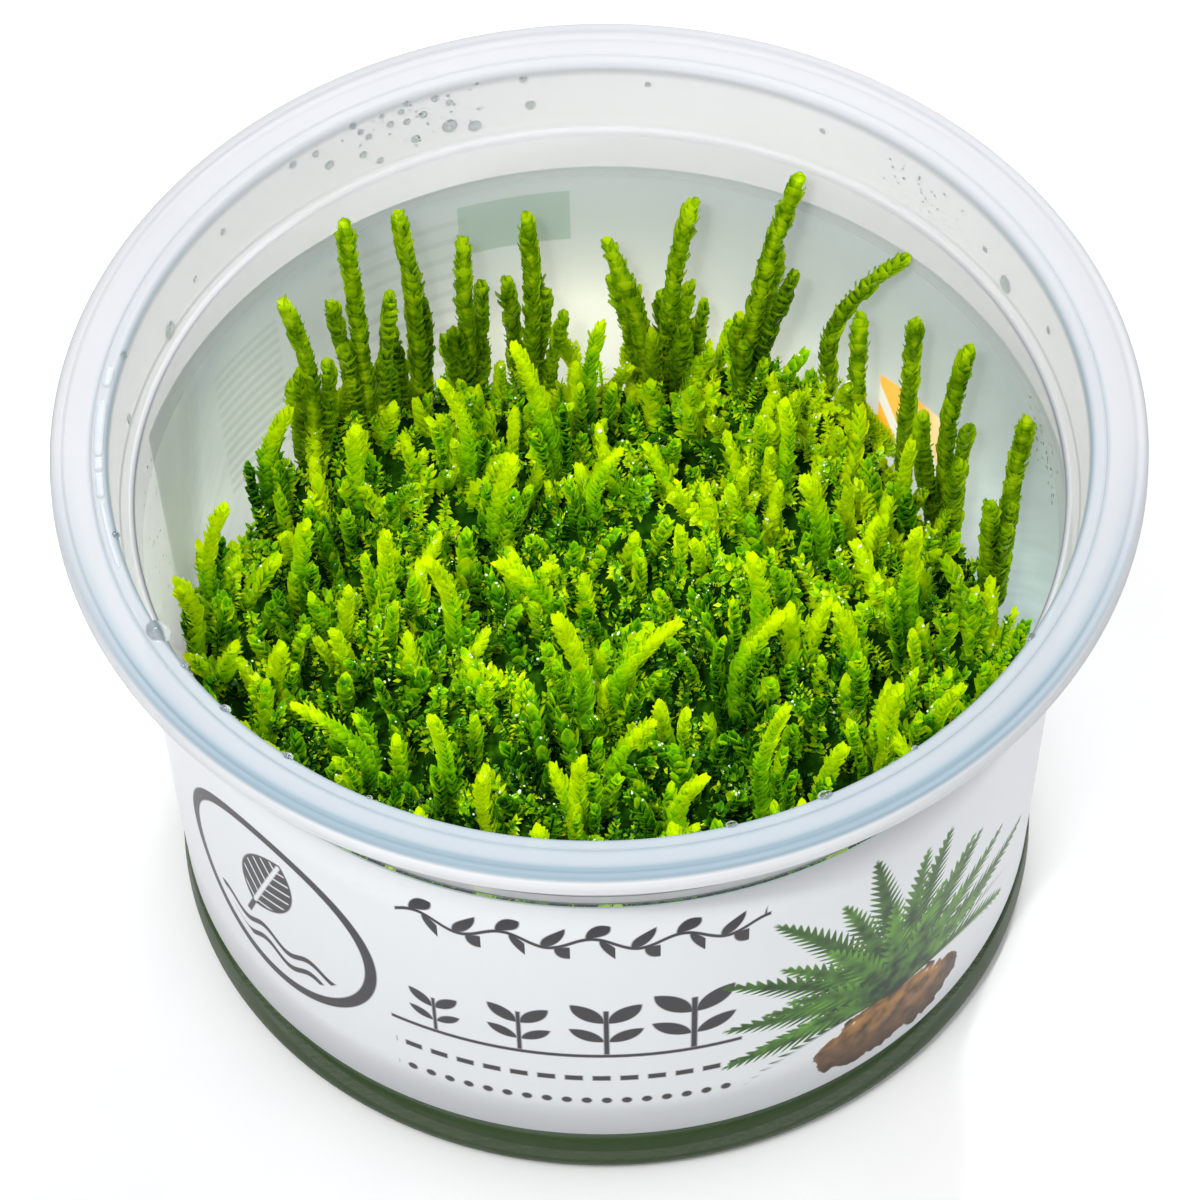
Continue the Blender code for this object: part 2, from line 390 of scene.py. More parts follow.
SOFTBOXES = (
    ("front", (-0.22, -0.42, 0.78), 0.3, 3.3),
    ("back", (0.12, 0.40, 0.72), 0.2, 2.6),
)
for name, place, size, power in SOFTBOXES:
    hang_lamp(name, "AREA", place, (0.0, 0.0, 0.04), power, shape="SQUARE", size=size)
SNOOTS = (
    ("front_snoot", (-0.15, -0.42, 0.75), (0.0, -0.004, 0.055), 0.040),
    ("back_snoot", (0.20, 0.40, 0.70), (0.0, 0.0, 0.055), 0.041),
)
SNOOT_POWER = 29.0
for name, place, aim, reach in SNOOTS:
    pool = 2.0 * math.atan(reach / (Vector(place) - Vector(aim)).length)
    hang_lamp(name, "SPOT", place, aim, SNOOT_POWER, shadow_soft_size=0.05, spot_size=pool, spot_blend=0.5)

paper, m, shader = finish("white_floor", Roughness=0.8, Specular_IOR_Level=0.2)
grain = m.noise(400.0)
connect(m, shader, Base_Color=m.tint(grain, (0.91, 0.91, 0.92), (0.94, 0.94, 0.94)))
bpy.ops.mesh.primitive_plane_add(size=FLOOR_SIZE, location=(0.0, 0.0, cad_box[0].z))
floor = bpy.context.object
floor.name = "floor"
floor.data.materials.append(paper)

# %% [markdown]
# ## The cup's shape
#
# The cup is blown from thin plastic: a foot, a wall that opens a little, a step, a wide flange
# and a flat rim with a short skirt. Everything is round, so one line turned about the axis makes
# it. We could turn the bare corners, but a moulded edge is never sharp, and its soft highlight is
# what makes plastic look like plastic. So each corner carries the size of its own fillet.

# %% Turn the cup
WALL_LOW_RADIUS = 39.85
WALL_SLOPE = 0.085
WALL_THICKNESS = 0.8
LABEL_LOW = 6.5
LABEL_HIGH = 46.7
SHOULDER = 52.3
RIM = 60.0
OPENING_RADIUS = 45.2
CUP_STEPS = 192
WALL_FINISH = (7.0, 46.5)


def wall_radius(height):
    """Outer radius of the cup's wall at a height, in millimetres."""
    return WALL_LOW_RADIUS + WALL_SLOPE * (height - LABEL_LOW)


def inner_radius(height):
    return wall_radius(height) - WALL_THICKNESS


step_in = inner_radius(SHOULDER)
step_out = wall_radius(SHOULDER)
cup_inside = [
    (0.0, 1.6, 0.0),
    (38.0, 1.6, 1.2),
    (inner_radius(3.0), 3.0, 0.8),
    (inner_radius(WALL_FINISH[0]), WALL_FINISH[0], 0.0),
    (inner_radius(WALL_FINISH[1]), WALL_FINISH[1], 0.0),
    (step_in, SHOULDER, 0.35),
    (step_in + 0.6, SHOULDER + 0.2, 0.3),
    (OPENING_RADIUS, RIM - 0.85, 0.7),
]
cup_rim = [
    (OPENING_RADIUS + 0.5, RIM - 0.45, 0.3),
    (46.45, RIM - 0.42, 0.15),
    (46.6, RIM - 0.32, 0.1),
    (46.75, RIM - 0.5, 0.15),
    (49.2, RIM - 0.2, 0.4),
    (49.5, RIM, 0.2),
    (50.15, RIM, 0.25),
    (50.5, RIM - 0.4, 0.3),
    (50.5, RIM - 2.1, 0.2),
    (49.6, RIM - 2.1, 0.2),
    (49.5, RIM - 1.2, 0.4),
    (46.5, RIM - 1.5, 0.4),
    (46.0, RIM - 2.0, 0.4),
]
cup_outside = [
    (step_out + 0.75, SHOULDER + 0.3, 0.5),
    (step_out + 0.15, SHOULDER - 0.9, 0.5),
    (wall_radius(SHOULDER - 2.2), SHOULDER - 2.2, 0.4),
    (wall_radius(WALL_FINISH[1]), WALL_FINISH[1], 0.0),
    (wall_radius(WALL_FINISH[0]), WALL_FINISH[0], 0.0),
    (wall_radius(5.9), 5.9, 0.25),
    (40.4, 5.4, 0.3),
    (40.4, 1.5, 1.0),
    (39.2, 0.0, 0.5),
    (37.4, 0.0, 0.3),
    (37.0, 0.6, 0.3),
    (0.0, 0.6, 0.0),
]

# %% [markdown]
# ### Milky plastic
#
# The plastic is polypropylene. It scatters a little light and lets the rest through, so it is
# white where white is behind it and grey-green where the gel is behind it. Real scattering would
# need many samples in so thin a wall. A white surface that is partly see-through gives the same
# look: most open in the wall, denser in the flange, where the plastic is thick and misted over.
# The wall behind the label is plain, so it gets a simpler finish that renders faster. On the rim
# the edges, the groove and the rings are painted blue-grey shade, more at the front than at the
# back, and the skirt is painted lighter at the front than at the sides. Thin dark lines under the
# skirt and along the label's top edge are painted shadow, only at the front, and the step's edge
# is a dark line of painted shade, fainter at the back.

# %% Mix the milky plastic
WALL_MILK = 0.17
WALL_COLOUR = (0.52, 0.53, 0.53)
INNER_SHADE_RINGS = ((45.3, 0.4, 0.9), (46.1, 0.8, 0.3), (46.85, 0.25, 0.6))
OUTER_SHADE_RINGS = ((49.3, 1.1, 1.5), (50.1, 0.4, 0.7))


def start_plastic(name):
    """What both finishes of the cup share: place, roughness, and the strip that the label leaves bare."""
    made, m, shader = finish(name, IOR=1.49, Specular_IOR_Level=0.25)
    place = m.place()
    xyz = m.split(place)
    roughness = 0.36 + m.noise(90.0, place=place) * 0.16
    return made, m, shader, xyz, roughness, (xyz.out("X") * -1.0).between(0.0375, 0.0395)


def ridges(value, lines):
    """Soft lines where a value passes some places. Each line is (place, half its width, strength)."""
    first, *rest = [
        (1.0 - (abs(value - middle) / width).least(1.0)) * strength for middle, width, strength in lines
    ]
    return sum(rest, first)


plastic, m, shader, xyz, roughness, bare_side = start_plastic("milky_plastic")
high = xyz.out("Z") / MM
radius = far(xyz.out("X"), xyz.out("Y")) / MM
front = (xyz.out("Y") * -1.0).between(0.0, 0.045)
away = xyz.out("Y").between(0.005, 0.040)
flange = high.between(SHOULDER - 0.2, SHOULDER + 0.6)
rim_top = high.between(RIM - 1.6, RIM - 0.9)
skirt = radius.between(50.25, 50.45)
foot = 1.0 - high.between(5.6, 6.8)
collar = high.between(LABEL_HIGH, LABEL_HIGH + 0.2).most(bare_side * (1.0 - foot)) * (1.0 - flange)
collar_milk = away * 0.22 + (1.0 - away) * (0.36 + front * 0.3)
milk = WALL_MILK + flange * 0.50 + rim_top * 0.14 + foot * 0.60 + collar * collar_milk

# Painted shade: blue-grey lines on the rim's real edges, groove and rings. The inner ones fade towards the back,
# and the outer band and the flat land beside it show only at the front.
front_land_shade = radius.between(46.8, 48.6) * front * 0.16
edge_shade_rings = ridges(radius, INNER_SHADE_RINGS) * (1.0 - away * 0.85) + ridges(radius, OUTER_SHADE_RINGS) * front
edges = (rim_top * (edge_shade_rings + front_land_shade) * (1.0 - skirt * front)).least(1.0)
# Painted shadow: thin dark lines under the skirt and along the label's top edge, only at the front. The step's
# edge is a dark line of painted shade as well, fainter at the back.
painted_shadow_lines = ridges(high, ((LABEL_HIGH + 0.2, 0.2, 1.0), (48.15, 0.2, 1.0))) * front
step_edge_and_shade = (ridges(high, ((SHOULDER, 0.26, 1.0),)) * (1.0 - away * 0.7)).most(painted_shadow_lines)

colour = m.tint(flange, m.tint(collar, WALL_COLOUR, (0.54, 0.545, 0.56)), (0.77, 0.765, 0.79))
# Painted light and shade: the rim's top is darker and bluer at the front, the skirt lighter at the front than
# away from it, and the edges and step lines take their blue-grey and dark tones. The foot takes the gel's colour.
for share, tone in (
    (rim_top, m.tint(front, (0.45, 0.462, 0.485), (0.38, 0.42, 0.46))),
    (skirt, m.tint(front, (0.37, 0.39, 0.42), (0.72, 0.74, 0.76))),
    (edges, (0.20, 0.27, 0.32)),
    (step_edge_and_shade, (0.12, 0.14, 0.15)),
    (foot, (0.028, 0.058, 0.014)),
):
    colour = m.tint(share, colour, tone)
alpha = (milk + edges * 0.30 + step_edge_and_shade * 0.7).least(1.0)
connect(m, shader, Base_Color=colour, Alpha=alpha, Roughness=roughness)

thin_plastic, m, shader, xyz, roughness, bare_side = start_plastic("thin_milky_plastic")
colour = m.tint(bare_side, WALL_COLOUR, (0.74, 0.75, 0.755))
connect(m, shader, Base_Color=colour, Alpha=WALL_MILK + bare_side * 0.36, Roughness=roughness)

cup = turned("milky_cup", cup_inside + cup_rim + cup_outside, CUP_STEPS, plastic, thin_plastic)
for face in cup.data.polygons:
    in_wall = WALL_FINISH[0] < face.center.z / MM < WALL_FINISH[1]
    if in_wall and math.hypot(face.center.x, face.center.y) > 0.9 * WALL_LOW_RADIUS * MM:
        face.material_index = 1
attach(cup, "root")
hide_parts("cup")
print("cup:", len(cup.data.polygons), "faces")

# %% [markdown]
# ## The label
#
# The label is one band of film that stops short of meeting itself on the left. It is a cone
# rolled flat, so its own map is simple: across for the way round, up for the height. Solidify
# gives it a thickness and hands the inner side a finish of its own, which is the back of the
# print that shows through the wall. The printed side is split into lengths, one finish each, so
# that no point works out shapes that lie elsewhere.

# %% Shape the label
LABEL_START = math.radians(-172.0)
LABEL_SWEEP = math.radians(336.0)
LABEL_COLUMNS = 200
LABEL_ROWS = 6
LABEL_GAP = 0.25
LABEL_THICKNESS = 0.2
LABEL_LENGTH = LABEL_SWEEP * wall_radius(0.5 * (LABEL_LOW + LABEL_HIGH))
LABEL_WIDTH = LABEL_HIGH - LABEL_LOW


def label_shape(*finishes):
    mesh = bpy.data.meshes.new("printed_label")
    shape = bmesh.new()
    bmesh.ops.create_grid(
        shape, x_segments=LABEL_COLUMNS, y_segments=LABEL_ROWS, size=0.5, calc_uvs=True
    )
    map_layer = shape.loops.layers.uv.verify()
    for face in shape.faces:
        face.smooth = True
        across = (face.calc_center_median().x + 0.5) * LABEL_LENGTH
        face.material_index = sum(across > limit for limit, _ in LABEL_REGIONS)
        for loop in face.loops:
            loop[map_layer].uv = (loop.vert.co.x + 0.5, loop.vert.co.y + 0.5)
    for vertex in shape.verts:
        angle = LABEL_START + LABEL_SWEEP * (vertex.co.x + 0.5)
        high = LABEL_LOW + LABEL_WIDTH * (vertex.co.y + 0.5)
        radius = wall_radius(high) + LABEL_GAP + LABEL_THICKNESS
        vertex.co = Vector((radius * math.cos(angle), radius * math.sin(angle), high)) * MM
    shape.to_mesh(mesh)
    shape.free()
    made = place_object("printed_label", mesh, *finishes)
    film = made.modifiers.new("Film", "SOLIDIFY")
    film.thickness = LABEL_THICKNESS * MM
    film.offset = -1.0
    film.material_offset = len(LABEL_REGIONS)
    film.material_offset_rim = len(LABEL_REGIONS)
    return plain(made)


# %% [markdown]
# ### A print made of formulas
#
# The design is a plain one of our own: a ring with a leaf and water lines, a row of growing
# sprouts, fern fronds on a brown stone, and blocks and ruled lines at the back. Each shape is a
# distance in millimetres, below zero inside. A shape's cover is 1 inside and 0 outside with a
# thin soft edge. Shapes that repeat fold the plane over with a modulo, so one shape is drawn for
# all of them.

# %% Shapes for the print
INK_EDGE = 0.09


def cover(distance, edge=INK_EDGE):
    """1 where a distance is below zero, with a soft edge."""
    return 1.0 - distance.between(-edge, edge)


def blade(x, y, length, width):
    """A pointed leaf from the origin along +Y, as the overlap of two circles."""
    radius = (length * length + width * width) / (4.0 * width)
    shift = radius - width / 2.0
    along = y - length / 2.0
    return far(along, x + shift).most(far(along, x - shift)) - radius


def turn(x, y, degrees):
    """The same point read along axes that are turned."""
    c = math.cos(math.radians(degrees))
    s = math.sin(math.radians(degrees))
    return x * c + y * s, y * c - x * s


def bar(x, y, length, thick):
    """A straight bar round the origin."""
    return (abs(x) - length / 2.0).most(abs(y) - thick / 2.0)


def sprouts(x, y, pitch, count):
    """A row of sprouts, each a stem with two pairs of leaves, larger towards the right."""
    number = (x / pitch).floor()
    inside = (number + 0.5).between(0.0, 0.01) * (1.0 - (number - count + 0.5).between(0.0, 0.01))
    scale = 0.62 + number.most(0.0) * 0.12
    near = abs(x - (number + 0.5) * pitch) / scale
    up = y / scale
    stem = bar(near, up - 4.5, 0.6, 9.0)
    low_leaf = blade(*turn(near - 0.2, up - 2.6, -56.0), 4.6, 1.9)
    high_leaf = blade(*turn(near - 0.2, up - 6.4, -44.0), 5.2, 2.3)
    return cover(stem.least(low_leaf).least(high_leaf) * scale) * inside


def repeat(value, pitch):
    """Folds a coordinate so that one cell, centred on zero, comes again and again."""
    return value.modulo(pitch) - pitch / 2.0


def vine(x, y, length):
    """A wavy line with a pair of small leaves at each half wave."""
    wave = y - (x * (2.0 * math.pi / 8.0)).sine() * 0.9
    twig = (abs(wave) - 0.28).most(abs(x - length / 2.0) - length / 2.0)
    cell = repeat(x, 4.0)
    upper = blade(*turn(cell + 0.6, wave, -38.0), 3.6, 1.5)
    lower = blade(*turn(cell - 0.6, wave, -142.0), 3.6, 1.5)
    leaves = upper.least(lower).most(abs(x - length / 2.0) - (length / 2.0 - 0.4))
    return cover(twig.least(leaves))


def fern(x, y, pitch, length, width, lean):
    """A fan of fronds from the origin. Outer fronds bend down. Each is a comb of leaflets."""
    reach = far(x, y)
    angle = x.bearing(y) / (1.0 + reach / 55.0) + lean
    number = (angle / pitch).nearest()
    across = abs((angle - number * pitch) * reach * (1.0 + reach / 55.0))
    share = reach / (length * (0.84 + (number * 5.3 + 1.0).sine() * 0.16))
    comb = ((reach - across * 1.3) * (2.0 * math.pi / 1.15)).cosine()
    half = width * (1.0 - share).most(0.0) ** 0.55 * share.between(-0.1, 0.25)
    mask = cover(across - half * (0.66 + comb * 0.34), 0.14) * (1.0 - share.between(0.97, 1.0))
    return mask * (1.0 - abs(angle).between(1.25, 1.3)), share, across / half.most(0.1)


# %% Draw the print
INK = (0.040, 0.038, 0.042)
FERN_FOOT = (88.5, 9.5)
FERN_FANS = (
    (0.27, 27.5, 3.4, 0.10, 0.45),
    (0.31, 23.0, 3.2, -0.08, 0.7),
    (0.36, 17.5, 3.0, 0.05, 1.0),
)


def flat_map(m):
    """Where a point of the label lies on the film, in millimetres across and up."""
    place = m.split(m.place("UV"))
    return place.out("X") * LABEL_LENGTH, place.out("Y") * LABEL_WIDTH


def badge_print(m, colour, x, y):
    """A ring with a leaf and water lines."""
    badge_x, badge_y = x - 24.5, y - 20.5
    ring = abs(far(badge_x, badge_y) - 12.0) - 0.65
    leaf_x, leaf_y = turn(badge_x + 2.6, badge_y + 2.2, -24.0)
    leaf_shape = blade(leaf_x, leaf_y, 12.5, 6.4)
    veins = abs(repeat(leaf_y - abs(leaf_x) * 0.8, 1.9)) - 0.16
    veins = veins.least(abs(leaf_x) - 0.24)
    stalk = bar(leaf_x, leaf_y + 1.2, 0.6, 3.0)
    wave_y = badge_y + 5.9 + (badge_x * 1.05).sine() * 0.7
    waves = (abs(wave_y) - 0.45).least(abs(wave_y + 2.2) - 0.45).most(far(badge_x, badge_y) - 9.8)
    leaf_ink = cover(leaf_shape.least(stalk)) * (1.0 - cover(veins) * cover(leaf_shape + 0.3))
    return m.tint(leaf_ink.most(cover(ring.least(waves))), colour, INK)


def rows_print(m, colour, x, y):
    """The vine, the row of sprouts on its ground line, and two ruled rows."""
    colour = m.tint(vine(x - 40.0, y - 34.0, 34.0), colour, INK)
    colour = m.tint(sprouts(x - 38.8, y - 14.5, 8.1, 4), colour, INK)
    ground = bar(x - 55.0, y - 14.2, 33.5, 0.55)
    dashes = (abs(repeat(x - 39.0, 2.6)) - 0.85).most(abs(y - 10.2) - 0.42)
    dots = far(repeat(x - 39.0, 1.9), y - 6.2) - 0.5
    rows = dashes.least(dots).most(abs(x - 55.0) - 16.5)
    return m.tint(cover(ground.least(rows)), colour, INK)


def fern_print(m, colour, x, y):
    """A clump of fern on a rough brown stone."""
    flat = m.add("ShaderNodeCombineXYZ", {}, {"X": x, "Y": y})
    mottle = m.noise(0.45, 2.0, flat)
    stone_x, stone_y = x - FERN_FOOT[0], y - 6.0
    stone = far(stone_x / 2.1, stone_y + abs(stone_x) * 0.12) - 4.4 + (mottle - 0.5) * 4.0
    light = mottle.between(0.34, 0.66) * stone_y.between(-5.0, 3.5)
    brown = m.tint(light, (0.045, 0.020, 0.008), (0.44, 0.22, 0.06))
    colour = m.tint(cover(stone), colour, brown)
    for pitch, length, width, lean, tone in FERN_FANS:
        mask, share, across = fern(x - FERN_FOOT[0], y - FERN_FOOT[1], pitch, length, width, lean)
        light = (share * 0.5 + across * 0.35 + (mottle - 0.5) * 1.5) * tone
        green = m.tint(light, (0.001, 0.020, 0.007), (0.15, 0.38, 0.035))
        colour = m.tint(mask, colour, green)
    return colour


def back_print(m, colour, x, y, strength=1.0):
    """The ochre block with a pale stripe, the green block and the ruled lines."""
    block = bar(x - 156.1, y - 18.4, 9.6, 7.6)
    warm = m.tint((x - 155.0).between(-1.5, 1.5), (1.25, 0.88, 0.40), (1.3, 0.58, 0.0))
    colour = m.tint(cover(block), colour, warm)
    stripe = abs(repeat(x - y * 0.6 - 2.6, 4.8)) - 0.7
    colour = m.tint(cover(stripe.most(block)), colour, (1.0, 0.98, 0.88))
    code = (abs(repeat(y - 8.0, 1.35)) - 0.36).most(bar(x - 227.0, y - 26.0, 9.0, 17.0))
    colour = m.tint(cover(code) * (strength * 0.7 + 0.1), colour, (0.14, 0.24, 0.22))
    rules = (abs(repeat(y - 9.0, 2.3)) - 0.38).most(bar(x - 209.0, y - 24.0, 14.0, 24.0))
    colour = m.tint(cover(rules) * strength, colour, (0.16, 0.17, 0.18))
    patch = bar(x - 197.5, y - 34.0, 10.5, 6.5)
    return m.tint(cover(patch) * (0.4 + strength * 0.6), colour, (0.12, 0.26, 0.16))


# %% [markdown]
# ### Film and its back
#
# The face is white with a soft sheen. From inside the cup the film's back is what gives the wall
# its cool grey, with the print only a shadow and a pale green cast low down, where the moss
# throws its colour on it. Daylight shines through the film from behind. We could let the film pass
# light, which takes many samples to look clean. Here its back glows a little in its own colour
# instead, and Cycles needn't aim at so weak a glow as it does at a lamp. Its colour is painted
# light and shade: brightest in the middle of the back, where light comes through, and a darker
# cool grey towards the top. Only the last length has a print whose shadow shows.

# %% Print the label
LABEL_REGIONS = (
    (38.0, (badge_print,)),
    (60.5, (rows_print,)),
    (75.5, (rows_print, fern_print)),
    (118.0, (fern_print,)),
    (149.0, ()),
    (LABEL_LENGTH, (back_print,)),
)


def face_finish(number, prints):
    """The printed side for one length of the film, with only the shapes that lie on it."""
    made, m, shader = finish(f"label_print_{number}", Specular_IOR_Level=0.22)
    x, y = flat_map(m)
    grain = m.noise(240.0, place=m.place("UV"))
    colour = m.tint(grain, (0.64, 0.66, 0.68), (0.66, 0.68, 0.70))
    for draw in prints:
        colour = draw(m, colour, x, y)
    bump = m.add("ShaderNodeBump", {}, {"Strength": 0.05, "Distance": 0.0001, "Height": grain})
    connect(m, shader, Base_Color=colour, Normal=bump, Roughness=0.34 + grain * 0.12)
    return made


film_faces = [face_finish(number, prints) for number, (_, prints) in enumerate(LABEL_REGIONS)]

def back_finish(name, printed):
    """The inner side of the film, with or without the shadow of the print."""
    made, m, shader = finish(name, Roughness=0.5, Emission_Strength=0.88)
    made.cycles.emission_sampling = "NONE"
    x, y = flat_map(m)
    flat = m.add("ShaderNodeCombineXYZ", {}, {"X": x, "Y": y})
    cloud = m.noise(0.06, place=flat)
    # Painted light and shade on the film's glowing back: a darker cool grey towards the top, and brightest in the
    # middle of the back, where light comes through.
    high = (y / LABEL_WIDTH + (cloud - 0.5) * 0.4).between(0.5, 0.92)
    backlit_middle = 1.0 - (abs(x - 190.0) / 60.0).least(1.0)
    side_glow = m.tint((x - 150.0).between(-10.0, 30.0), (0.56, 0.70, 0.72), (0.66, 0.74, 0.70))
    colour = m.tint(high, m.tint(backlit_middle, side_glow, (1.0, 1.0, 0.86)), (0.33, 0.38, 0.385))
    if printed:
        colour = back_print(m, colour, x, y, 0.16)
    streak = m.add("ShaderNodeCombineXYZ", {}, {"X": x + y * 0.9, "Y": (y - x) * 0.04})
    rubbed = m.noise(0.8, 1.0, streak)
    streaky = (rubbed * (1.0 - backlit_middle)).between(0.35, 0.75)
    colour = m.tint(streaky * 0.35, colour, (0.26, 0.36, 0.34))
    connect(m, shader, Base_Color=m.tint(0.5, colour, (0.0, 0.0, 0.0)), Emission_Color=colour)
    return made


film_back = back_finish("label_reverse", False)
film_back_printed = back_finish("label_reverse_printed", True)
film_backs = [film_back_printed if back_print in prints else film_back for _, prints in LABEL_REGIONS]

label = label_shape(*film_faces, *film_backs)
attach(label, "root")
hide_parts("label")
print("label:", round(LABEL_LENGTH, 1), "mm long,", round(LABEL_WIDTH, 1), "mm wide")

# %% [markdown]
# ## Growth gel
#
# The gel is a clear jelly that has set in the cup. Its shape is already right in the frame, so
# we only give it a finish: grey-green, with fine cloudy threads.

# %% Finish the gel
jelly, m, shader = finish("growth_gel", Roughness=0.3, IOR=1.34, Specular_IOR_Level=0.2)
cloud = m.noise(160.0, 2.0, m.place())
colour = m.tint(cloud.between(0.3, 0.7), (0.026, 0.046, 0.016), (0.055, 0.085, 0.038))
connect(m, shader, Base_Color=colour)
nodes["growth_gel"].data.materials.clear()
nodes["growth_gel"].data.materials.append(jelly)

# %% [markdown]
# ## Two leaves
#
# Weeping moss has leaves about a millimetre long, egg-shaped with a fine point, and hollow like a
# spoon towards the stem. Thousands will be placed, so one leaf has only ten triangles, and the
# tiny ones deep in the carpet have four. Each carries two numbers that the finish will read. One
# runs from its base to its tip, the other from its midrib to its margin.

# %% Make the leaves
LEAF_LENGTH = 1.4
LEAF_WIDTH = 0.95


def leaf_object(name, corners, faces):
    """A leaf along +Z with its outer side towards +X. Corners are (x, y, z, blade, margin)."""
    mesh = bpy.data.meshes.new(name)
    mesh.from_pydata([tuple(value * MM for value in corner[:3]) for corner in corners], [], faces)
    mesh.shade_smooth()
    for column, attribute in ((3, "blade"), (4, "margin")):
        values = [corner[column] for corner in corners]
        mesh.attributes.new(attribute, "FLOAT", "POINT").data.foreach_set("value", values)
    return place_object(name, mesh)


def spoon_leaf(name, widths):
    """A leaf three vertices wide. Widths are (share of its length, share of its full width)."""
    corners = []
    for share, wide in widths:
        for side in (-1.0, 0.0, 1.0):
            out = 0.10 + 0.24 * math.sin(2.5 * share) - 0.15 * abs(side) * wide
            corners.append((out, side * wide * LEAF_WIDTH / 2.0, share * LEAF_LENGTH, share, abs(side)))
    corners.append((0.30, 0.0, LEAF_LENGTH, 1.0, 1.0))
    faces = [(row + i, row + i + 1, row + i + 4, row + i + 3) for row in (0, 3) for i in (0, 1)]
    return leaf_object(name, corners, faces + [(6, 7, 9), (7, 8, 9)])


def tiny_leaf():
    corners = [
        (0.05, 0.0, 0.0, 0.0, 0.5),
        (0.10, -0.24, 0.38, 0.5, 1.0),
        (0.20, 0.0, 0.40, 0.5, 0.0),
        (0.10, 0.24, 0.38, 0.5, 1.0),
        (0.24, 0.0, 0.88, 1.0, 1.0),
    ]
    return leaf_object("tiny_leaf", corners, [(0, 2, 1), (0, 3, 2), (1, 2, 4), (2, 3, 4)])


leaf = spoon_leaf("pointed_leaf", ((0.0, 0.5), (0.4, 1.0), (0.76, 0.66)))
blunt = spoon_leaf("blunt_leaf", ((0.0, 0.6), (0.45, 1.15), (0.84, 0.95)))
tiny = tiny_leaf()
print("leaf faces:", len(leaf.data.polygons), "and", len(tiny.data.polygons))

# %% [markdown]
# ## A shoot of leaves
#
# Along a shoot the leaves sit in four rows and overlap like a plait. The two side rows stand out
# and give the flat, scalloped outline. The rows in front and behind lie close. This follows a
# rule, so Geometry Nodes build it: points along a line, a leaf on each, turned a quarter each
# time. Size and spread shrink towards the tip, where the young leaves close into a bud.

# %% Build the tree for a leafy shoot
def new_tree(name, sockets):
    """A Geometry Nodes tree with a geometry socket at each end and named inputs."""
    tree = bpy.data.node_groups.new(name, "GeometryNodeTree")
    tree.interface.new_socket(name="Geometry", in_out="INPUT", socket_type="NodeSocketGeometry")
    for socket, kind in sockets.items():
        tree.interface.new_socket(name=socket, in_out="INPUT", socket_type="NodeSocket" + kind)
    tree.interface.new_socket(name="Geometry", in_out="OUTPUT", socket_type="NodeSocketGeometry")
    maker = Maker(tree)
    return maker, maker.add("NodeGroupInput")


def end_tree(maker, geometry, material):
    """Real geometry with its material: instances would be lost when the piece is handed on."""
    real = maker.add("GeometryNodeRealizeInstances", {}, {"Geometry": geometry})
    painted = maker.add("GeometryNodeSetMaterial", {}, {"Geometry": real, "Material": material})
    maker.add("NodeGroupOutput", {}, {"Geometry": painted})


def random_between(maker, low, high, seed):
    inputs = {"Min": low, "Max": high, "Seed": seed}
    return maker.add("FunctionNodeRandomValue", {"data_type": "FLOAT"}, inputs)


def spin(maker, rotation, axis, angle):
    """Turns a rotation about one of its own axes."""
    by = maker.add("FunctionNodeAxisAngleToRotation", {}, {"Axis": axis, "Angle": angle})
    settings = {"rotation_space": "LOCAL"}
    return maker.add("FunctionNodeRotateRotation", settings, {"Rotation": rotation, "Rotate By": by})


def keep(maker, geometry, name, value, domain="POINT"):
    """Stores a number on each point or instance, for the finish to read."""
    settings = {"data_type": "FLOAT", "domain": domain}
    inputs = {"Geometry": geometry, "Name": name, "Value": value}
    return maker.add("GeometryNodeStoreNamedAttribute", settings, inputs)


LOOKS = {**dict.fromkeys(("Tip reach", "Sparks", "Rim", "Mottle"), "Float"), "Material": "Material"}


def with_age(maker, given, geometry):
    """Works out how young and bright each point of the leaves looks, its age and painted light together, and
    stores it as one number.
    """
    tip = 1.0 - (maker.stored("from_tip") / given.out("Tip reach")).least(1.0)
    patch = maker.noise(170.0)
    blotch = maker.noise(900.0)
    tint = maker.stored("tint")
    age = maker.stored("green") + maker.stored("glow") * tip + (tint - 0.5) * 0.2 + (patch - 0.5) * 0.3
    # Painted light: Sparks makes a few random leaves bright, standing in for lit specks, and Rim paints each
    # leaf's margin lighter as if lit, or darker where it is below zero.
    age = age + given.out("Sparks") * tint**5.0 + given.out("Rim") * maker.stored("margin") ** 2.0
    age = age - (1.0 - maker.stored("blade")) * 0.24 + (blotch - 0.5) * given.out("Mottle") + 0.06
    return keep(maker, geometry, "age", age)


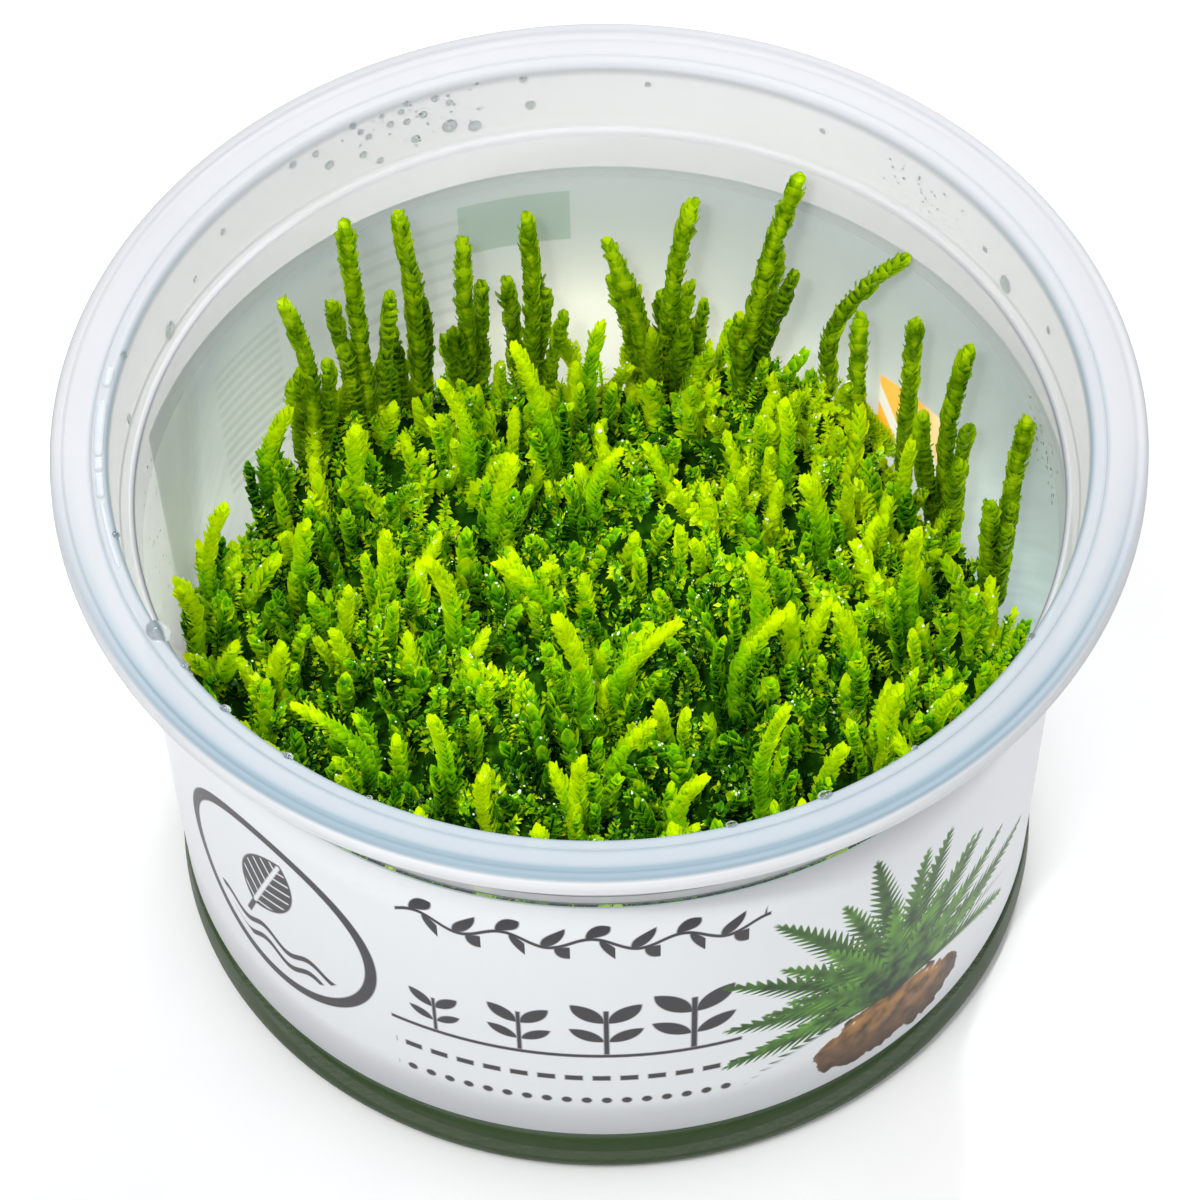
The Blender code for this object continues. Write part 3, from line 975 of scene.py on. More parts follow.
def leafy_tree():
    sizes = (
        "Leaf spacing", "Stem radius", "Leaf size", "Side spread", "Face spread", "Bud length", "Twist", "Untidy",
    )
    floats = dict.fromkeys(sizes, "Float")
    maker, given = new_tree("leafy_shoot", {"Leaf": "Object", **floats, "Seed": "Int", **LOOKS})
    line = maker.add("GeometryNodeMeshToCurve", {}, {"Mesh": given})
    so_far = maker.add("GeometryNodeSplineParameter").out("Length")
    line = keep(maker, line, "from_tip", maker.add("GeometryNodeSplineLength").out("Length") - so_far)
    inputs = {"Resolution": 4, "Radius": given.out("Stem radius")}
    stem_ring = maker.add("GeometryNodeCurvePrimitiveCircle", {}, inputs)
    inputs = {"Curve": line, "Profile Curve": stem_ring, "Fill Caps": True}
    stem = maker.add("GeometryNodeCurveToMesh", {}, inputs)
    inputs = {"Curve": line, "Length": given.out("Leaf spacing")}
    points = maker.add("GeometryNodeCurveToPoints", {"mode": "LENGTH"}, inputs)
    number = maker.add("GeometryNodeInputIndex")
    seed = given.out("Seed")
    quarter = number * (math.pi / 2.0)
    untidy = given.out("Untidy")
    angle = quarter + random_between(maker, -0.42, 0.42, seed) + given.out("Twist")
    side = abs(quarter.cosine())
    bud = 1.0 - (maker.stored("from_tip") / given.out("Bud length")).least(1.0)
    spread = given.out("Face spread") + side * (given.out("Side spread") - given.out("Face spread"))
    spread = spread * (1.0 - bud * 0.7) + random_between(maker, -0.35, 1.0, seed + 7) * untidy
    rotation = spin(maker, points.out("Rotation"), (0.0, 0.0, 1.0), angle)
    rotation = spin(maker, rotation, (0.0, 1.0, 0.0), spread)
    size = given.out("Leaf size") * (1.0 - bud * 0.25) * random_between(maker, 0.85, 1.12, seed + 13)
    inputs = {"Object": given.out("Leaf"), "As Instance": True}
    shape = maker.add("GeometryNodeObjectInfo", {}, inputs).out("Geometry")
    leaves = maker.add("GeometryNodeInstanceOnPoints", {}, {
        "Points": points, "Instance": shape, "Rotation": rotation, "Scale": size,
    })
    leaves = keep(maker, leaves, "tint", random_between(maker, 0.0, 1.0, seed + 21), "INSTANCE")
    both = maker.add("GeometryNodeJoinGeometry", {}, {"Geometry": [stem, leaves]})
    real = maker.add("GeometryNodeRealizeInstances", {}, {"Geometry": both})
    end_tree(maker, with_age(maker, given, real), given.out("Material"))
    return maker.tree


def run_tree(name, host, tree, values):
    """Runs a tree on a host mesh with its inputs set, and returns the plain result."""
    modifier = host.modifiers.new(tree.name, "NODES")
    modifier.node_group = tree
    for item in tree.interface.items_tree:
        if item.item_type == "SOCKET" and item.in_out == "INPUT" and item.name in values:
            modifier[item.identifier] = values[item.name]
    made = plain(host)
    made.name = name
    made.data.name = name
    return made


leafy = leafy_tree()
print("leafy shoot tree:", len(leafy.nodes), "nodes")

# %% [markdown]
# ### Moss green
#
# Young tips are a glowing lime, older leaves a clear green, and the base is nearly black because
# little light gets there. The leaves are one cell thick, so light passes through them: a part of
# the shader is translucent. They are wet, so the rest has a low roughness and sharp highlights.
# The trees have stored one number on each point of a leaf, its age and painted light together,
# from old and dark to young and bright, so the shader only looks the colour up. In the carpet,
# shoots set low or in hollows are painted darker, a painted shade, and the back of the bed is
# painted lighter, a painted light. Four looks say how that number is made: for tall shoots, for
# the middle layer with its leaf margins painted pale as if lit, for the low layer with a few
# leaves painted bright as lit specks, and for the olive shoots that stand against the back wall.

# %% Mix the moss green
FRESH_AGES = [
    (0.0, (0.004, 0.045, 0.0)),
    (0.25, (0.038, 0.21, 0.0)),
    (0.5, (0.16, 0.50, 0.006)),
    (0.75, (0.46, 0.86, 0.003)),
    (1.0, (0.80, 1.0, 0.0)),
]
SHADED_AGES = [
    (0.0, (0.02, 0.07, 0.0)),
    (0.3, (0.10, 0.24, 0.001)),
    (0.55, (0.25, 0.47, 0.001)),
    (0.8, (0.48, 0.72, 0.003)),
    (1.0, (0.74, 0.94, 0.01)),
]


def moss_finish(name, ages, through):
    """The green of wet moss. Through is the share of light that passes a leaf."""
    made, m, shader = finish(name, Specular_IOR_Level=0.28, IOR=1.38)
    age = m.add("ShaderNodeAttribute", {"attribute_name": "age"}).out("Fac")
    green = m.add("ShaderNodeValToRGB", {"stops": ages}, {"Fac": age})
    connect(m, shader, Base_Color=green, Roughness=0.45 - age.least(1.0) * 0.2)
    thin = m.add("ShaderNodeBsdfTranslucent", {}, {"Color": green})
    opaque = Value(m, shader, shader.outputs["BSDF"])
    mixed = m.add("ShaderNodeMixShader", {}, {"Fac": through, 1: opaque, 2: thin})
    output = next(node for node in made.node_tree.nodes if node.type == "OUTPUT_MATERIAL")
    m.feed(output.inputs["Surface"], mixed)
    return made


fresh_green = moss_finish("fresh_moss_leaves", FRESH_AGES, 0.45)
olive_green = moss_finish("shaded_moss_leaves", SHADED_AGES, 0.6)


def look(reach, sparks, rim, mottle, material=fresh_green):
    """How leaves age and take painted light: from the tip (mm), a few bright leaves by chance for lit specks, a
    margin painted lighter as if lit (darker when negative), and blotches.
    """
    return {"Tip reach": reach * MM, "Sparks": sparks, "Rim": rim, "Mottle": mottle, "Material": material}


TALL = look(13.0, 0.0, 0.05, 0.3)
MIDDLE = look(8.0, 0.4, 0.26, 0.65)
LOW = look(6.0, 1.5, 0.15, 0.7)
SHADED = look(8.0, 0.1, -0.34, 1.0, olive_green)

# %% [markdown]
# ## The single shoots
#
# Each tall shoot of the frame is a plain stem. The line through its middle is a smooth function
# of height, so a cubic fitted through its corners gives it back without any table of points. The
# leaves then follow that line. A shoot near the back wall is in shade and stays a darker green.

# %% Grow the tall shoots
SHOOT_POINTS = 24
SIDE_SPREAD = math.radians(19.0)
FACE_SPREAD = math.radians(6.0)
BUD_LENGTH = 1.8 * MM


def middle_line(node):
    """Points up the middle of a shoot, in metres, from its foot to its tip."""
    corners = np.array([vertex.co for vertex in node.data.vertices])
    heights = corners[:, 2]
    low, high = heights.min(), heights.max()
    steps = np.linspace(low - 4.0 * MM, high - 0.8 * LEAF_LENGTH * MM, SHOOT_POINTS)
    level = (heights - low) / (high - low)
    x = np.polynomial.Polynomial.fit(level, corners[:, 0], 3)
    y = np.polynomial.Polynomial.fit(level, corners[:, 1], 3)
    shares = np.clip((steps - low) / (high - low), 0.0, 1.0)
    return np.column_stack((x(shares), y(shares), steps))


def line_host(name, lines):
    """A mesh of bare lines. Each is its points, its green at the foot and the glow of its tip."""
    mesh = bpy.data.meshes.new(name)
    points, edges, greens, glows = [], [], [], []
    for line, green, glow in lines:
        edges += [(len(points) + i, len(points) + i + 1) for i in range(len(line) - 1)]
        points += [tuple(point) for point in line]
        greens += [green] * len(line)
        glows += [glow] * len(line)
    mesh.from_pydata(points, edges, [])
    mesh.attributes.new("green", "FLOAT", "POINT").data.foreach_set("value", greens)
    mesh.attributes.new("glow", "FLOAT", "POINT").data.foreach_set("value", glows)
    return place_object(name, mesh)


def grow(name, lines, seed, looks=TALL, **changes):
    """Leafy shoots along lines, as one plain mesh."""
    values = {
        "Leaf": leaf,
        "Leaf spacing": 0.185 * MM,
        "Stem radius": 0.25 * MM,
        "Leaf size": 1.3,
        "Side spread": SIDE_SPREAD,
        "Face spread": FACE_SPREAD,
        "Bud length": BUD_LENGTH,
        "Twist": 0.0,
        "Untidy": 0.08,
        "Seed": seed,
        **looks,
    }
    values.update({key.replace("_", " "): value for key, value in changes.items()})
    return run_tree(name, line_host("line", lines), leafy, values)


def tidy_attributes(made):
    """Takes off the numbers that only the trees needed."""
    for name in ("green", "glow", "from_tip", "tint", "blade", "margin"):
        if name in made.data.attributes:
            made.data.attributes.remove(made.data.attributes[name])


def against_wall(tip):
    """Whether a shoot leans near the wall at the back or at the right, where it stands in shade."""
    return math.hypot(tip[0], tip[1]) > 38.0 * MM and tip[1] > 5.0 * MM


tall_lines = {name: middle_line(nodes[name]) for name in shoot_names}
tall_faces = 0
for number, name in enumerate(shoot_names):
    line = tall_lines[name]
    in_shade = against_wall(line[-1])
    if in_shade:
        looks = {**SHADED, "Leaf": blunt, "Leaf spacing": 0.25 * MM, "Leaf size": 1.42, "Untidy": 0.06}
        looks.update({"Side spread": math.radians(17.0), "Face spread": math.radians(4.0)})
        green, glow = 0.92, 0.12
    else:
        looks = {**TALL, "Leaf size": 1.28 + 0.12 * math.sin(7.0 * number)}
        green, glow = 0.58 + 0.12 * math.sin(3.0 * number), 0.65
    twist = 0.6 * math.sin(5.0 * number)
    shoot = grow("leafy_" + name, [(line, green, glow)], 100 + number, looks, Twist=twist)
    tidy_attributes(shoot)
    tall_faces += len(shoot.data.polygons)
    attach(shoot, "root")
    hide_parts(name)
print("tall shoots:", len(shoot_names), "with", tall_faces, "faces")

# %% [markdown]
# ### Lower shoots round each tall one
#
# A tall shoot seldom stands alone. At its foot stand two to four lower ones, which make the base
# of each spire broad and leafy. They follow the same line, moved aside a little and cut short.
# Only at the back right the bed lies low and the wall shows between bare spires.

# %% Grow the thicket
BED_LEVEL = 26.0 * MM
WALL_ROOM = 1.6
dice = random.Random(11)


def keep_inside(line):
    """Moves points that come too near the wall back towards the axis."""
    for point in line:
        room = (inner_radius(point[2] / MM) - WALL_ROOM) * MM
        reach = math.hypot(point[0], point[1])
        if reach > room:
            point[0] *= room / reach
            point[1] *= room / reach
    return line


thickets = {"front": [], "back": []}
for name in shoot_names:
    line = tall_lines[name]
    tip = line[-1][2]
    back = 1.0 if against_wall(line[-1]) else 0.0
    bearing = math.degrees(math.atan2(line[-1][1], line[-1][0]))
    low_company = 2 if back < 0.5 else 0 if 30.0 < bearing < 58.0 else 4
    for _ in range(low_company):
        side = dice.uniform(0.0, 2.0 * math.pi)
        apart = dice.uniform(1.3, 3.4) * MM
        top = BED_LEVEL + (tip - BED_LEVEL) * dice.uniform(0.22, 0.62)
        shares = np.linspace(0.0, 1.0, 14)
        heights = top - 14.0 * MM * (1.0 - shares)
        spread = apart * (0.4 + 0.6 * shares)
        x = np.interp(heights, line[:, 2], line[:, 0]) + spread * math.cos(side)
        y = np.interp(heights, line[:, 2], line[:, 1]) + spread * math.sin(side)
        green = dice.uniform(0.14, 0.44) + 0.55 * back
        glow = dice.uniform(0.0, 0.6) * (1.0 - 0.6 * back)
        lower = keep_inside(np.column_stack((x, y, heights)))
        thickets["back" if back > 0.5 else "front"].append((lower, green, glow))
THICKET_LOOKS = {
    "front": (MIDDLE, leaf, 0.2, 1.08, 0.22),
    "back": (SHADED, blunt, 0.26, 1.35, 0.12),
}
for place, lines in thickets.items():
    looks, kind, spacing, size, untidy = THICKET_LOOKS[place]
    made = grow(
        "moss_thicket_" + place, lines, 77, looks,
        Leaf=kind, Leaf_spacing=spacing * MM, Leaf_size=size, Untidy=untidy,
    )
    tidy_attributes(made)
    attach(made, "root")
    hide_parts("moss_bed")
    print(place, "thicket:", len(lines), "shoots with", len(made.data.polygons), "faces")

# %% [markdown]
# ## The carpet
#
# Between the tall shoots the bed is a carpet of short ones. We grow eight upright ones, six open
# ones and six low, loose ones, each bent in its own way, and plant them all over the bed's top.
# The frame's bed says how high the carpet reaches. Points are spread evenly at random, so no two
# shoots stand on one spot.

# %% Grow the short shoots
def short_line(number, length):
    shares = np.linspace(0.0, 1.0, 9)
    lean = 1.6 * math.cos(2.3 * number)
    bend = 0.9 * math.sin(1.7 * number)
    return np.column_stack((
        lean * shares**2 + 0.25 * np.sin(5.0 * shares + number),
        bend * shares**2,
        length * (shares - 1.0),
    )) * MM


def short_shoots(name, count, length, **changes):
    """A collection of short shoots with their tips at the origin."""
    kinds = bpy.data.collections.new(name)
    bpy.context.scene.collection.children.link(kinds)
    for number in range(count):
        lines = [(short_line(number, length), 0.0, 0.0)]
        made = grow(f"{name}_{number}", lines, 300 + number, TALL, **changes)
        for attribute in ("green", "glow", "age"):
            made.data.attributes.remove(made.data.attributes[attribute])
        bpy.context.scene.collection.objects.unlink(made)
        kinds.objects.link(made)
    return kinds


upright = short_shoots(
    "upright", 8, 11.0, Leaf_spacing=0.2 * MM, Leaf_size=1.22, Stem_radius=0.2 * MM, Untidy=0.16,
)
open_kinds = short_shoots(
    "open", 6, 7.0, Leaf_spacing=0.2 * MM, Leaf_size=0.82, Stem_radius=0.12 * MM, Untidy=0.6,
    Side_spread=math.radians(48.0), Face_spread=math.radians(34.0),
)
loose = short_shoots(
    "loose", 6, 6.0, Leaf=tiny, Leaf_spacing=0.12 * MM, Leaf_size=0.95, Stem_radius=0.1 * MM, Untidy=0.5,
    Side_spread=math.radians(70.0), Face_spread=math.radians(55.0),
)

# %% [markdown]
# ### Planting
#
# The tree takes the bed's top, scatters points on it and sets a shoot on each, with its tip at
# the point. A slow noise decides which patches are lush and which lie lower, so the carpet has
# tussocks and dark hollows. Shoots set low and in hollows are painted darker as well, a painted
# shade, and the back of the bed is painted lighter, a painted light. Each sector of the round bed
# becomes a piece of its own, because one mesh of all the leaves would be too large to hand on.

# %% Build the planting tree
SECTORS = 5
MOST_POINTS = 900000.0
FULL_TURN = 6.283


def planting_tree():
    floats = dict.fromkeys(("Spacing", "Rise", "Ragged", "Green", "Glow", "Thin", "Sector"), "Float")
    sockets = {"Shoots": "Collection", "Kinds": "Int", **floats, "Seed": "Int", **LOOKS}
    maker, given = new_tree("planting", sockets)
    seed = given.out("Seed")
    points = maker.add("GeometryNodeDistributePointsOnFaces", {"distribute_method": "POISSON"}, {
        "Mesh": given, "Distance Min": given.out("Spacing"), "Density Max": MOST_POINTS, "Seed": seed,
    })
    place = maker.split(maker.add("GeometryNodeInputPosition"))
    x, y = place.out("X"), place.out("Y")
    slice_number = (y.bearing(x) / (2.0 * math.pi) + 0.5) * SECTORS
    offset = abs(slice_number.floor() - given.out("Sector"))
    dome = (28.0 - 3.0 * (far(x, y) / (41.7 * MM)) ** 2.5) * MM
    hollow = (dome - place.out("Z")).between(0.5 * MM, 3.5 * MM)
    chance = random_between(maker, 0.3, 1.0, seed + 12)
    gone = (offset - 0.5).most(hollow * given.out("Thin") - chance)
    outside = maker.add("FunctionNodeCompare", {"operation": "GREATER_THAN"}, {"A": gone, "B": 0.0})
    inputs = {"Geometry": points, "Selection": outside}
    points = maker.add("GeometryNodeDeleteGeometry", {"domain": "POINT"}, inputs)
    lush = maker.noise(130.0, 1.0).between(0.38, 0.62)
    luck = random_between(maker, 0.0, 1.0, seed + 3)
    drop = given.out("Ragged") * (1.0 - lush * 0.6) * luck - given.out("Rise") + hollow * 1.2 * MM
    lower = maker.add("ShaderNodeCombineXYZ", {}, {"Z": drop * -1.0})
    points = maker.add("GeometryNodeSetPosition", {}, {"Geometry": points, "Offset": lower})
    # Painted light: the back of the bed, and a patch at the right, are painted lighter, the front darker.
    painted_back_light = y.between(-0.03, 0.03) * 0.70 - 0.31
    painted_back_light = painted_back_light + x.between(0.0, 0.03) * y.between(-0.015, 0.02) * 0.2
    green = given.out("Green") + lush * 0.38 + random_between(maker, -0.2, 0.2, seed + 4) + painted_back_light
    # Painted shade: shoots that luck sets lower, and shoots in hollows, are painted darker, and their tips glow
    # less in hollows.
    points = keep(maker, points, "green", green - luck * 0.12 - hollow * 0.16)
    lucky = random_between(maker, 0.0, 1.0, seed + 11) ** 2.0
    glow = given.out("Glow") * lucky * (1.0 - hollow * 0.6) * (0.45 + lush * 0.7)
    points = keep(maker, points, "glow", glow)
    edge = far(x, y).between(0.030, 0.039)
    lean_x = random_between(maker, -0.38, 0.38, seed + 5) + x * edge * 5.0
    lean_y = random_between(maker, -0.38, 0.38, seed + 6) + y * edge * 5.0
    upwards = maker.add("ShaderNodeCombineXYZ", {}, {"X": lean_x, "Y": lean_y, "Z": 1.0})
    rotation = maker.add("FunctionNodeAlignRotationToVector", {"axis": "Z"}, {"Vector": upwards})
    rotation = spin(maker, rotation, (0.0, 0.0, 1.0), random_between(maker, 0.0, FULL_TURN, seed + 8))
    inputs = {"Min": 0, "Max": given.out("Kinds") - 1.0, "Seed": seed + 9}
    choice = maker.add("FunctionNodeRandomValue", {"data_type": "INT"}, inputs)
    kinds = maker.add("GeometryNodeCollectionInfo", {}, {
        "Collection": given.out("Shoots"), "Separate Children": True, "Reset Children": True,
    })
    shoots = maker.add("GeometryNodeInstanceOnPoints", {}, {
        "Points": points, "Instance": kinds, "Pick Instance": True, "Instance Index": choice,
        "Rotation": rotation, "Scale": random_between(maker, 0.85, 1.2, seed + 10),
    })
    real = maker.add("GeometryNodeRealizeInstances", {}, {"Geometry": shoots})
    end_tree(maker, with_age(maker, given, real), given.out("Material"))
    return maker.tree


planting = planting_tree()
print("planting tree:", len(planting.nodes), "nodes")

# %% [markdown]
# ### The ground under the carpet
#
# The bed's top is read from the frame: the faces of the imported bed that look up. A copy of the
# same bed, sunk by a few millimetres, is the dark mat of old stems that closes the view between
# the shoots and meets the wall at the sides. Its near-black green is partly the old stems' own
# colour and partly painted shade.

# %% Read the bed's top and plant it
WALL_GAP = 0.965


def bed_copy():
    """The frame's bed as a merged mesh of its own."""
    shape = bmesh.new()
    shape.from_mesh(nodes["moss_bed"].data)
    bmesh.ops.remove_doubles(shape, verts=shape.verts, dist=MERGE)
    return shape


top = bed_copy()
buried = [
    face for face in top.faces if face.normal.z < 0.3 or face.calc_center_median().z < 0.5 * BED_LEVEL
]
bmesh.ops.delete(top, geom=buried, context="FACES")
for vertex in top.verts:
    vertex.co.x *= WALL_GAP
    vertex.co.y *= WALL_GAP
top_mesh = bpy.data.meshes.new("bed_top")
top.to_mesh(top_mesh)
top.free()
print("bed top:", len(top_mesh.polygons), "faces")

LAYERS = {
    "upright": (upright, MIDDLE, 2.9, 4.2, 6.0, 1.0, 0.24, 1.0),
    "open": (open_kinds, MIDDLE, 2.6, 1.4, 4.0, 0.8, 0.10, 0.6),
    "loose": (loose, LOW, 1.3, 0.2, 3.0, 0.0, 0.05, 0.4),
}
carpet = []
for layer, (kinds, looks, spacing, rise, ragged, thin, green, glow) in LAYERS.items():
    for sector in range(SECTORS):
        made = run_tree(f"{layer}_moss_{sector}", place_object("patch", top_mesh.copy()), planting, {
            "Shoots": kinds, "Kinds": len(kinds.objects), "Spacing": spacing * MM, "Rise": rise * MM,
            "Ragged": ragged * MM, "Thin": thin, "Green": green, "Glow": glow,
            "Sector": float(sector), "Seed": 40, **looks,
        })
        tidy_attributes(made)
        carpet.append(made)
        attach(made, "root")
        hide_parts("moss_bed")
print("carpet:", sum(len(made.data.polygons) for made in carpet), "faces")

# %% Lay the dark mat
MAT_SINK = 4.0

mat_finish, m, shader = finish("old_moss_and_shade", Roughness=0.9, Specular_IOR_Level=0.0)
place = m.place()
tangle = m.add("ShaderNodeTexVoronoi", {"feature": "F1"}, {"Vector": place, "Scale": 900.0})
patch = m.noise(240.0, 1.0, place)
# Painted shade: the mat's near-black green is partly the old stems' own colour and partly shade.
green = m.tint(tangle.between(0.1, 0.8), (0.035, 0.13, 0.003), (0.003, 0.02, 0.001))
green = m.tint(patch.between(0.35, 0.65), green, (0.008, 0.045, 0.002))
bump = m.add("ShaderNodeBump", {}, {"Strength": 0.8, "Distance": 0.0006, "Height": tangle * -1.0})
connect(m, shader, Base_Color=green, Normal=bump)

mat = bed_copy()
bed_low = min(vertex.co.z for vertex in mat.verts)
for vertex in mat.verts:
    if vertex.co.z > bed_low + 2.0 * MM:
        vertex.co.z -= MAT_SINK * MM
        vertex.co.x *= WALL_GAP
        vertex.co.y *= WALL_GAP
mat_mesh = bpy.data.meshes.new("moss_mat")
mat.to_mesh(mat_mesh)
mat.free()
mat_object = place_object("moss_mat", mat_mesh, mat_finish)
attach(mat_object, "root")
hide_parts("moss_bed")

# %% [markdown]
# ## Drops of water
#
# The cup was just opened, so it is wet inside. Flat drops cling to the flange, larger beads sit
# on the rim, and fine dew lies on the moss. One tree sets a bead on every vertex of a host and
# turns it to face out of the surface. The hosts say where: drops in view are listed as angle,
# height and size, mist is scattered with a fixed seed, and dew sits on leaves of the carpet.

# %% Build the tree for beads
def bead_tree():
    maker, given = new_tree("beads", {"Detail": "Int", "Flatness": "Float", "Material": "Material"})
    size = maker.stored("size")
    outward = maker.stored("outward", "FLOAT_VECTOR")
    inputs = {"Radius": 1.0, "Subdivisions": given.out("Detail")}
    ball = maker.add("GeometryNodeMeshIcoSphere", {}, inputs)
    ball = maker.add("GeometryNodeSetShadeSmooth", {}, {"Geometry": ball, "Shade Smooth": True})
    rotation = maker.add("FunctionNodeAlignRotationToVector", {"axis": "Z"}, {"Vector": outward})
    flat_size = size * given.out("Flatness")
    scale = maker.add("ShaderNodeCombineXYZ", {}, {"X": size, "Y": size, "Z": flat_size})
    balls = maker.add("GeometryNodeInstanceOnPoints", {}, {
        "Points": given, "Instance": ball, "Rotation": rotation, "Scale": scale,
    })
    end_tree(maker, balls, given.out("Material"))
    return maker.tree


beads = bead_tree()


def set_beads(name, spots, detail, flatness, material):
    """Beads as one mesh. Each spot is its place, the way it faces and its radius, in metres."""
    mesh = bpy.data.meshes.new(name)
    mesh.from_pydata([tuple(spot[0]) for spot in spots], [], [])
    sizes = mesh.attributes.new("size", "FLOAT", "POINT")
    sizes.data.foreach_set("value", [spot[2] for spot in spots])
    outward = mesh.attributes.new("outward", "FLOAT_VECTOR", "POINT")
    outward.data.foreach_set("vector", [value for spot in spots for value in spot[1]])
    values = {"Detail": detail, "Flatness": flatness, "Material": material}
    return run_tree(name, place_object(name, mesh), beads, values)


# %% Set the drops
FLANGE_DROPS = (
    (128.7, 58.2, 0.45), (125.4, 57.9, 0.40), (123.9, 55.9, 0.55), (119.2, 55.2, 0.45), (117.2, 53.8, 0.45),
    (119.9, 58.8, 0.42), (119.0, 57.8, 0.38), (118.1, 56.9, 0.40), (116.0, 58.5, 0.32), (115.1, 57.3, 0.42),
    (113.5, 58.2, 0.34), (113.0, 56.9, 0.42), (112.7, 58.9, 0.34), (110.8, 57.1, 0.45), (109.1, 58.5, 0.42),
    (107.4, 57.6, 0.42), (112.2, 54.7, 0.50), (107.7, 55.0, 0.80), (97.5, 55.6, 0.55), (98.2, 58.6, 0.42),
    (104.6, 54.3, 0.70), (83.2, 57.6, 0.32), (154.7, 54.0, 0.95), (29.8, 54.4, 0.95), (169.9, 54.8, 0.55),
    (34.7, 55.6, 0.40), (61.0, 56.8, 0.35), (141.0, 57.0, 0.40), (147.5, 55.4, 0.35), (19.5, 56.2, 0.45),
)
RIM_BEADS = (
    (-152.9, 1.25), (-147.0, 0.35), (-139.1, 0.55), (-129.1, 0.50), (-118.0, 0.30), (-75.7, 0.55),
    (-64.3, 0.70), (-52.0, 0.35), (-31.0, 0.45), (-168.0, 0.40), (165.0, 0.35),
)

water, m, shader = finish("clear_water", Roughness=0.02, IOR=1.33, Transmission_Weight=1.0)
ripple = m.noise(700.0, 2.0, m.place())
connect(m, shader, Base_Color=m.tint(ripple, (0.86, 0.93, 0.95), (0.97, 1.0, 1.0)))


def on_wall(angle, height, size):
    """A drop on the cup's inner side at an angle in degrees and a height in millimetres."""
    if height > SHOULDER:
        climb = (height - SHOULDER) / (RIM - 0.85 - SHOULDER)
        radius = step_in + 0.6 + (OPENING_RADIUS - step_in - 0.6) * climb
    else:
        radius = inner_radius(height)
    c, s = math.cos(math.radians(angle)), math.sin(math.radians(angle))
    return (radius * c * MM, radius * s * MM, height * MM), (-c, -s, 0.2), size * MM


def on_rim(angle, size):
    c, s = math.cos(math.radians(angle)), math.sin(math.radians(angle))
    radius = OPENING_RADIUS + 0.1
    return (radius * c * MM, radius * s * MM, (RIM - 0.7) * MM), (-0.5 * c, -0.5 * s, 0.8), size * MM


drops = [on_wall(*drop) for drop in FLANGE_DROPS]
MIST_PATCHES = (
    (46.0, 7.0, 52.8, 57.5, 70), (12.0, 7.0, 43.0, 49.0, 60),
    (172.0, 4.0, 28.0, 50.0, 34), (115.0, 12.0, 53.5, 59.0, 60),
)
for middle, half, low, high_end, count in MIST_PATCHES:
    for _ in range(count):
        angle = dice.uniform(middle - half, middle + half)
        drops.append(on_wall(angle, dice.uniform(low, high_end), dice.uniform(0.08, 0.2)))
rim_beads = [on_rim(*bead) for bead in RIM_BEADS]
for name, spots, detail, flatness in (("clinging_drops", drops, 2, 0.25), ("rim_beads", rim_beads, 3, 0.6)):
    made = set_beads(name, spots, detail, flatness, water)
    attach(made, "root")
    print(name, len(spots), "with", len(made.data.polygons), "faces")

# %% [markdown]
# ### Water in the rim's groove
#
# A shallow groove runs round the rim beside the opening. On the left it holds short lengths of
# water. Each is an arc swept with a round section. Clear glass looks dark against so pale a rim,
# so this water is pale and partly see-through, which is how such a thin thread of it reads.

# %% Fill the groove on the left
GROOVE_RADIUS = 46.0
GROOVE_WATER = (
    (167.6, 170.3, 0.40), (172.5, 180.5, 0.46), (180.9, 182.6, 0.42), (183.1, 186.6, 0.38), (187.2, 197.0, 0.22),
)


def tube_tree():
    maker, given = new_tree("tubes", {"Material": "Material"})
    line = maker.add("GeometryNodeMeshToCurve", {}, {"Mesh": given})
    width = maker.stored("size")
    section = maker.add("GeometryNodeCurvePrimitiveCircle", {}, {"Resolution": 12, "Radius": 1.0})
    inputs = {"Curve": line, "Profile Curve": section, "Scale": width, "Fill Caps": True}
    tube = maker.add("GeometryNodeCurveToMesh", {}, inputs)
    smooth = maker.add("GeometryNodeSetShadeSmooth", {}, {"Geometry": tube, "Shade Smooth": True})
    end_tree(maker, smooth, given.out("Material"))
    return maker.tree


def groove_arc(start, end, size):
    """Points along the groove, the ends drawn in to round the length of water off."""
    shares = (0.0, 0.02, 0.06, 0.15, 0.3, 0.5, 0.7, 0.85, 0.94, 0.98, 1.0)
    widths = (0.45, 0.75, 0.95, 1.0, 1.0, 1.0, 1.0, 1.0, 0.95, 0.75, 0.45)
    points = []
    for share, width in zip(shares, widths):
        angle = math.radians(start + (end - start) * share)
        across, along = math.cos(angle) * GROOVE_RADIUS * MM, math.sin(angle) * GROOVE_RADIUS * MM
        place = (across, along, (RIM - 0.42) * MM)
        points.append((place, size * width * MM))
    return points


groove_mesh = bpy.data.meshes.new("groove")
arcs = [groove_arc(*item) for item in GROOVE_WATER]
spots = [spot for arc in arcs for spot in arc]
steps = [(i, i + 1) for i in range(len(spots) - 1) if (i + 1) % len(arcs[0])]
groove_mesh.from_pydata([spot[0] for spot in spots], steps, [])
groove_sizes = groove_mesh.attributes.new("size", "FLOAT", "POINT")
groove_sizes.data.foreach_set("value", [spot[1] for spot in spots])
groove_finish, m, shader = finish("groove_water", Roughness=0.06, IOR=1.33, Alpha=0.3)
cloud = m.noise(300.0, place=m.place())
connect(m, shader, Base_Color=m.tint(cloud, (0.72, 0.80, 0.86), (0.95, 0.98, 1.0)))
groove_host = place_object("groove", groove_mesh)
groove = run_tree("groove_water", groove_host, tube_tree(), {"Material": groove_finish})
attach(groove, "root")
print("water in the groove:", len(arcs), "lengths with", len(groove.data.polygons), "faces")
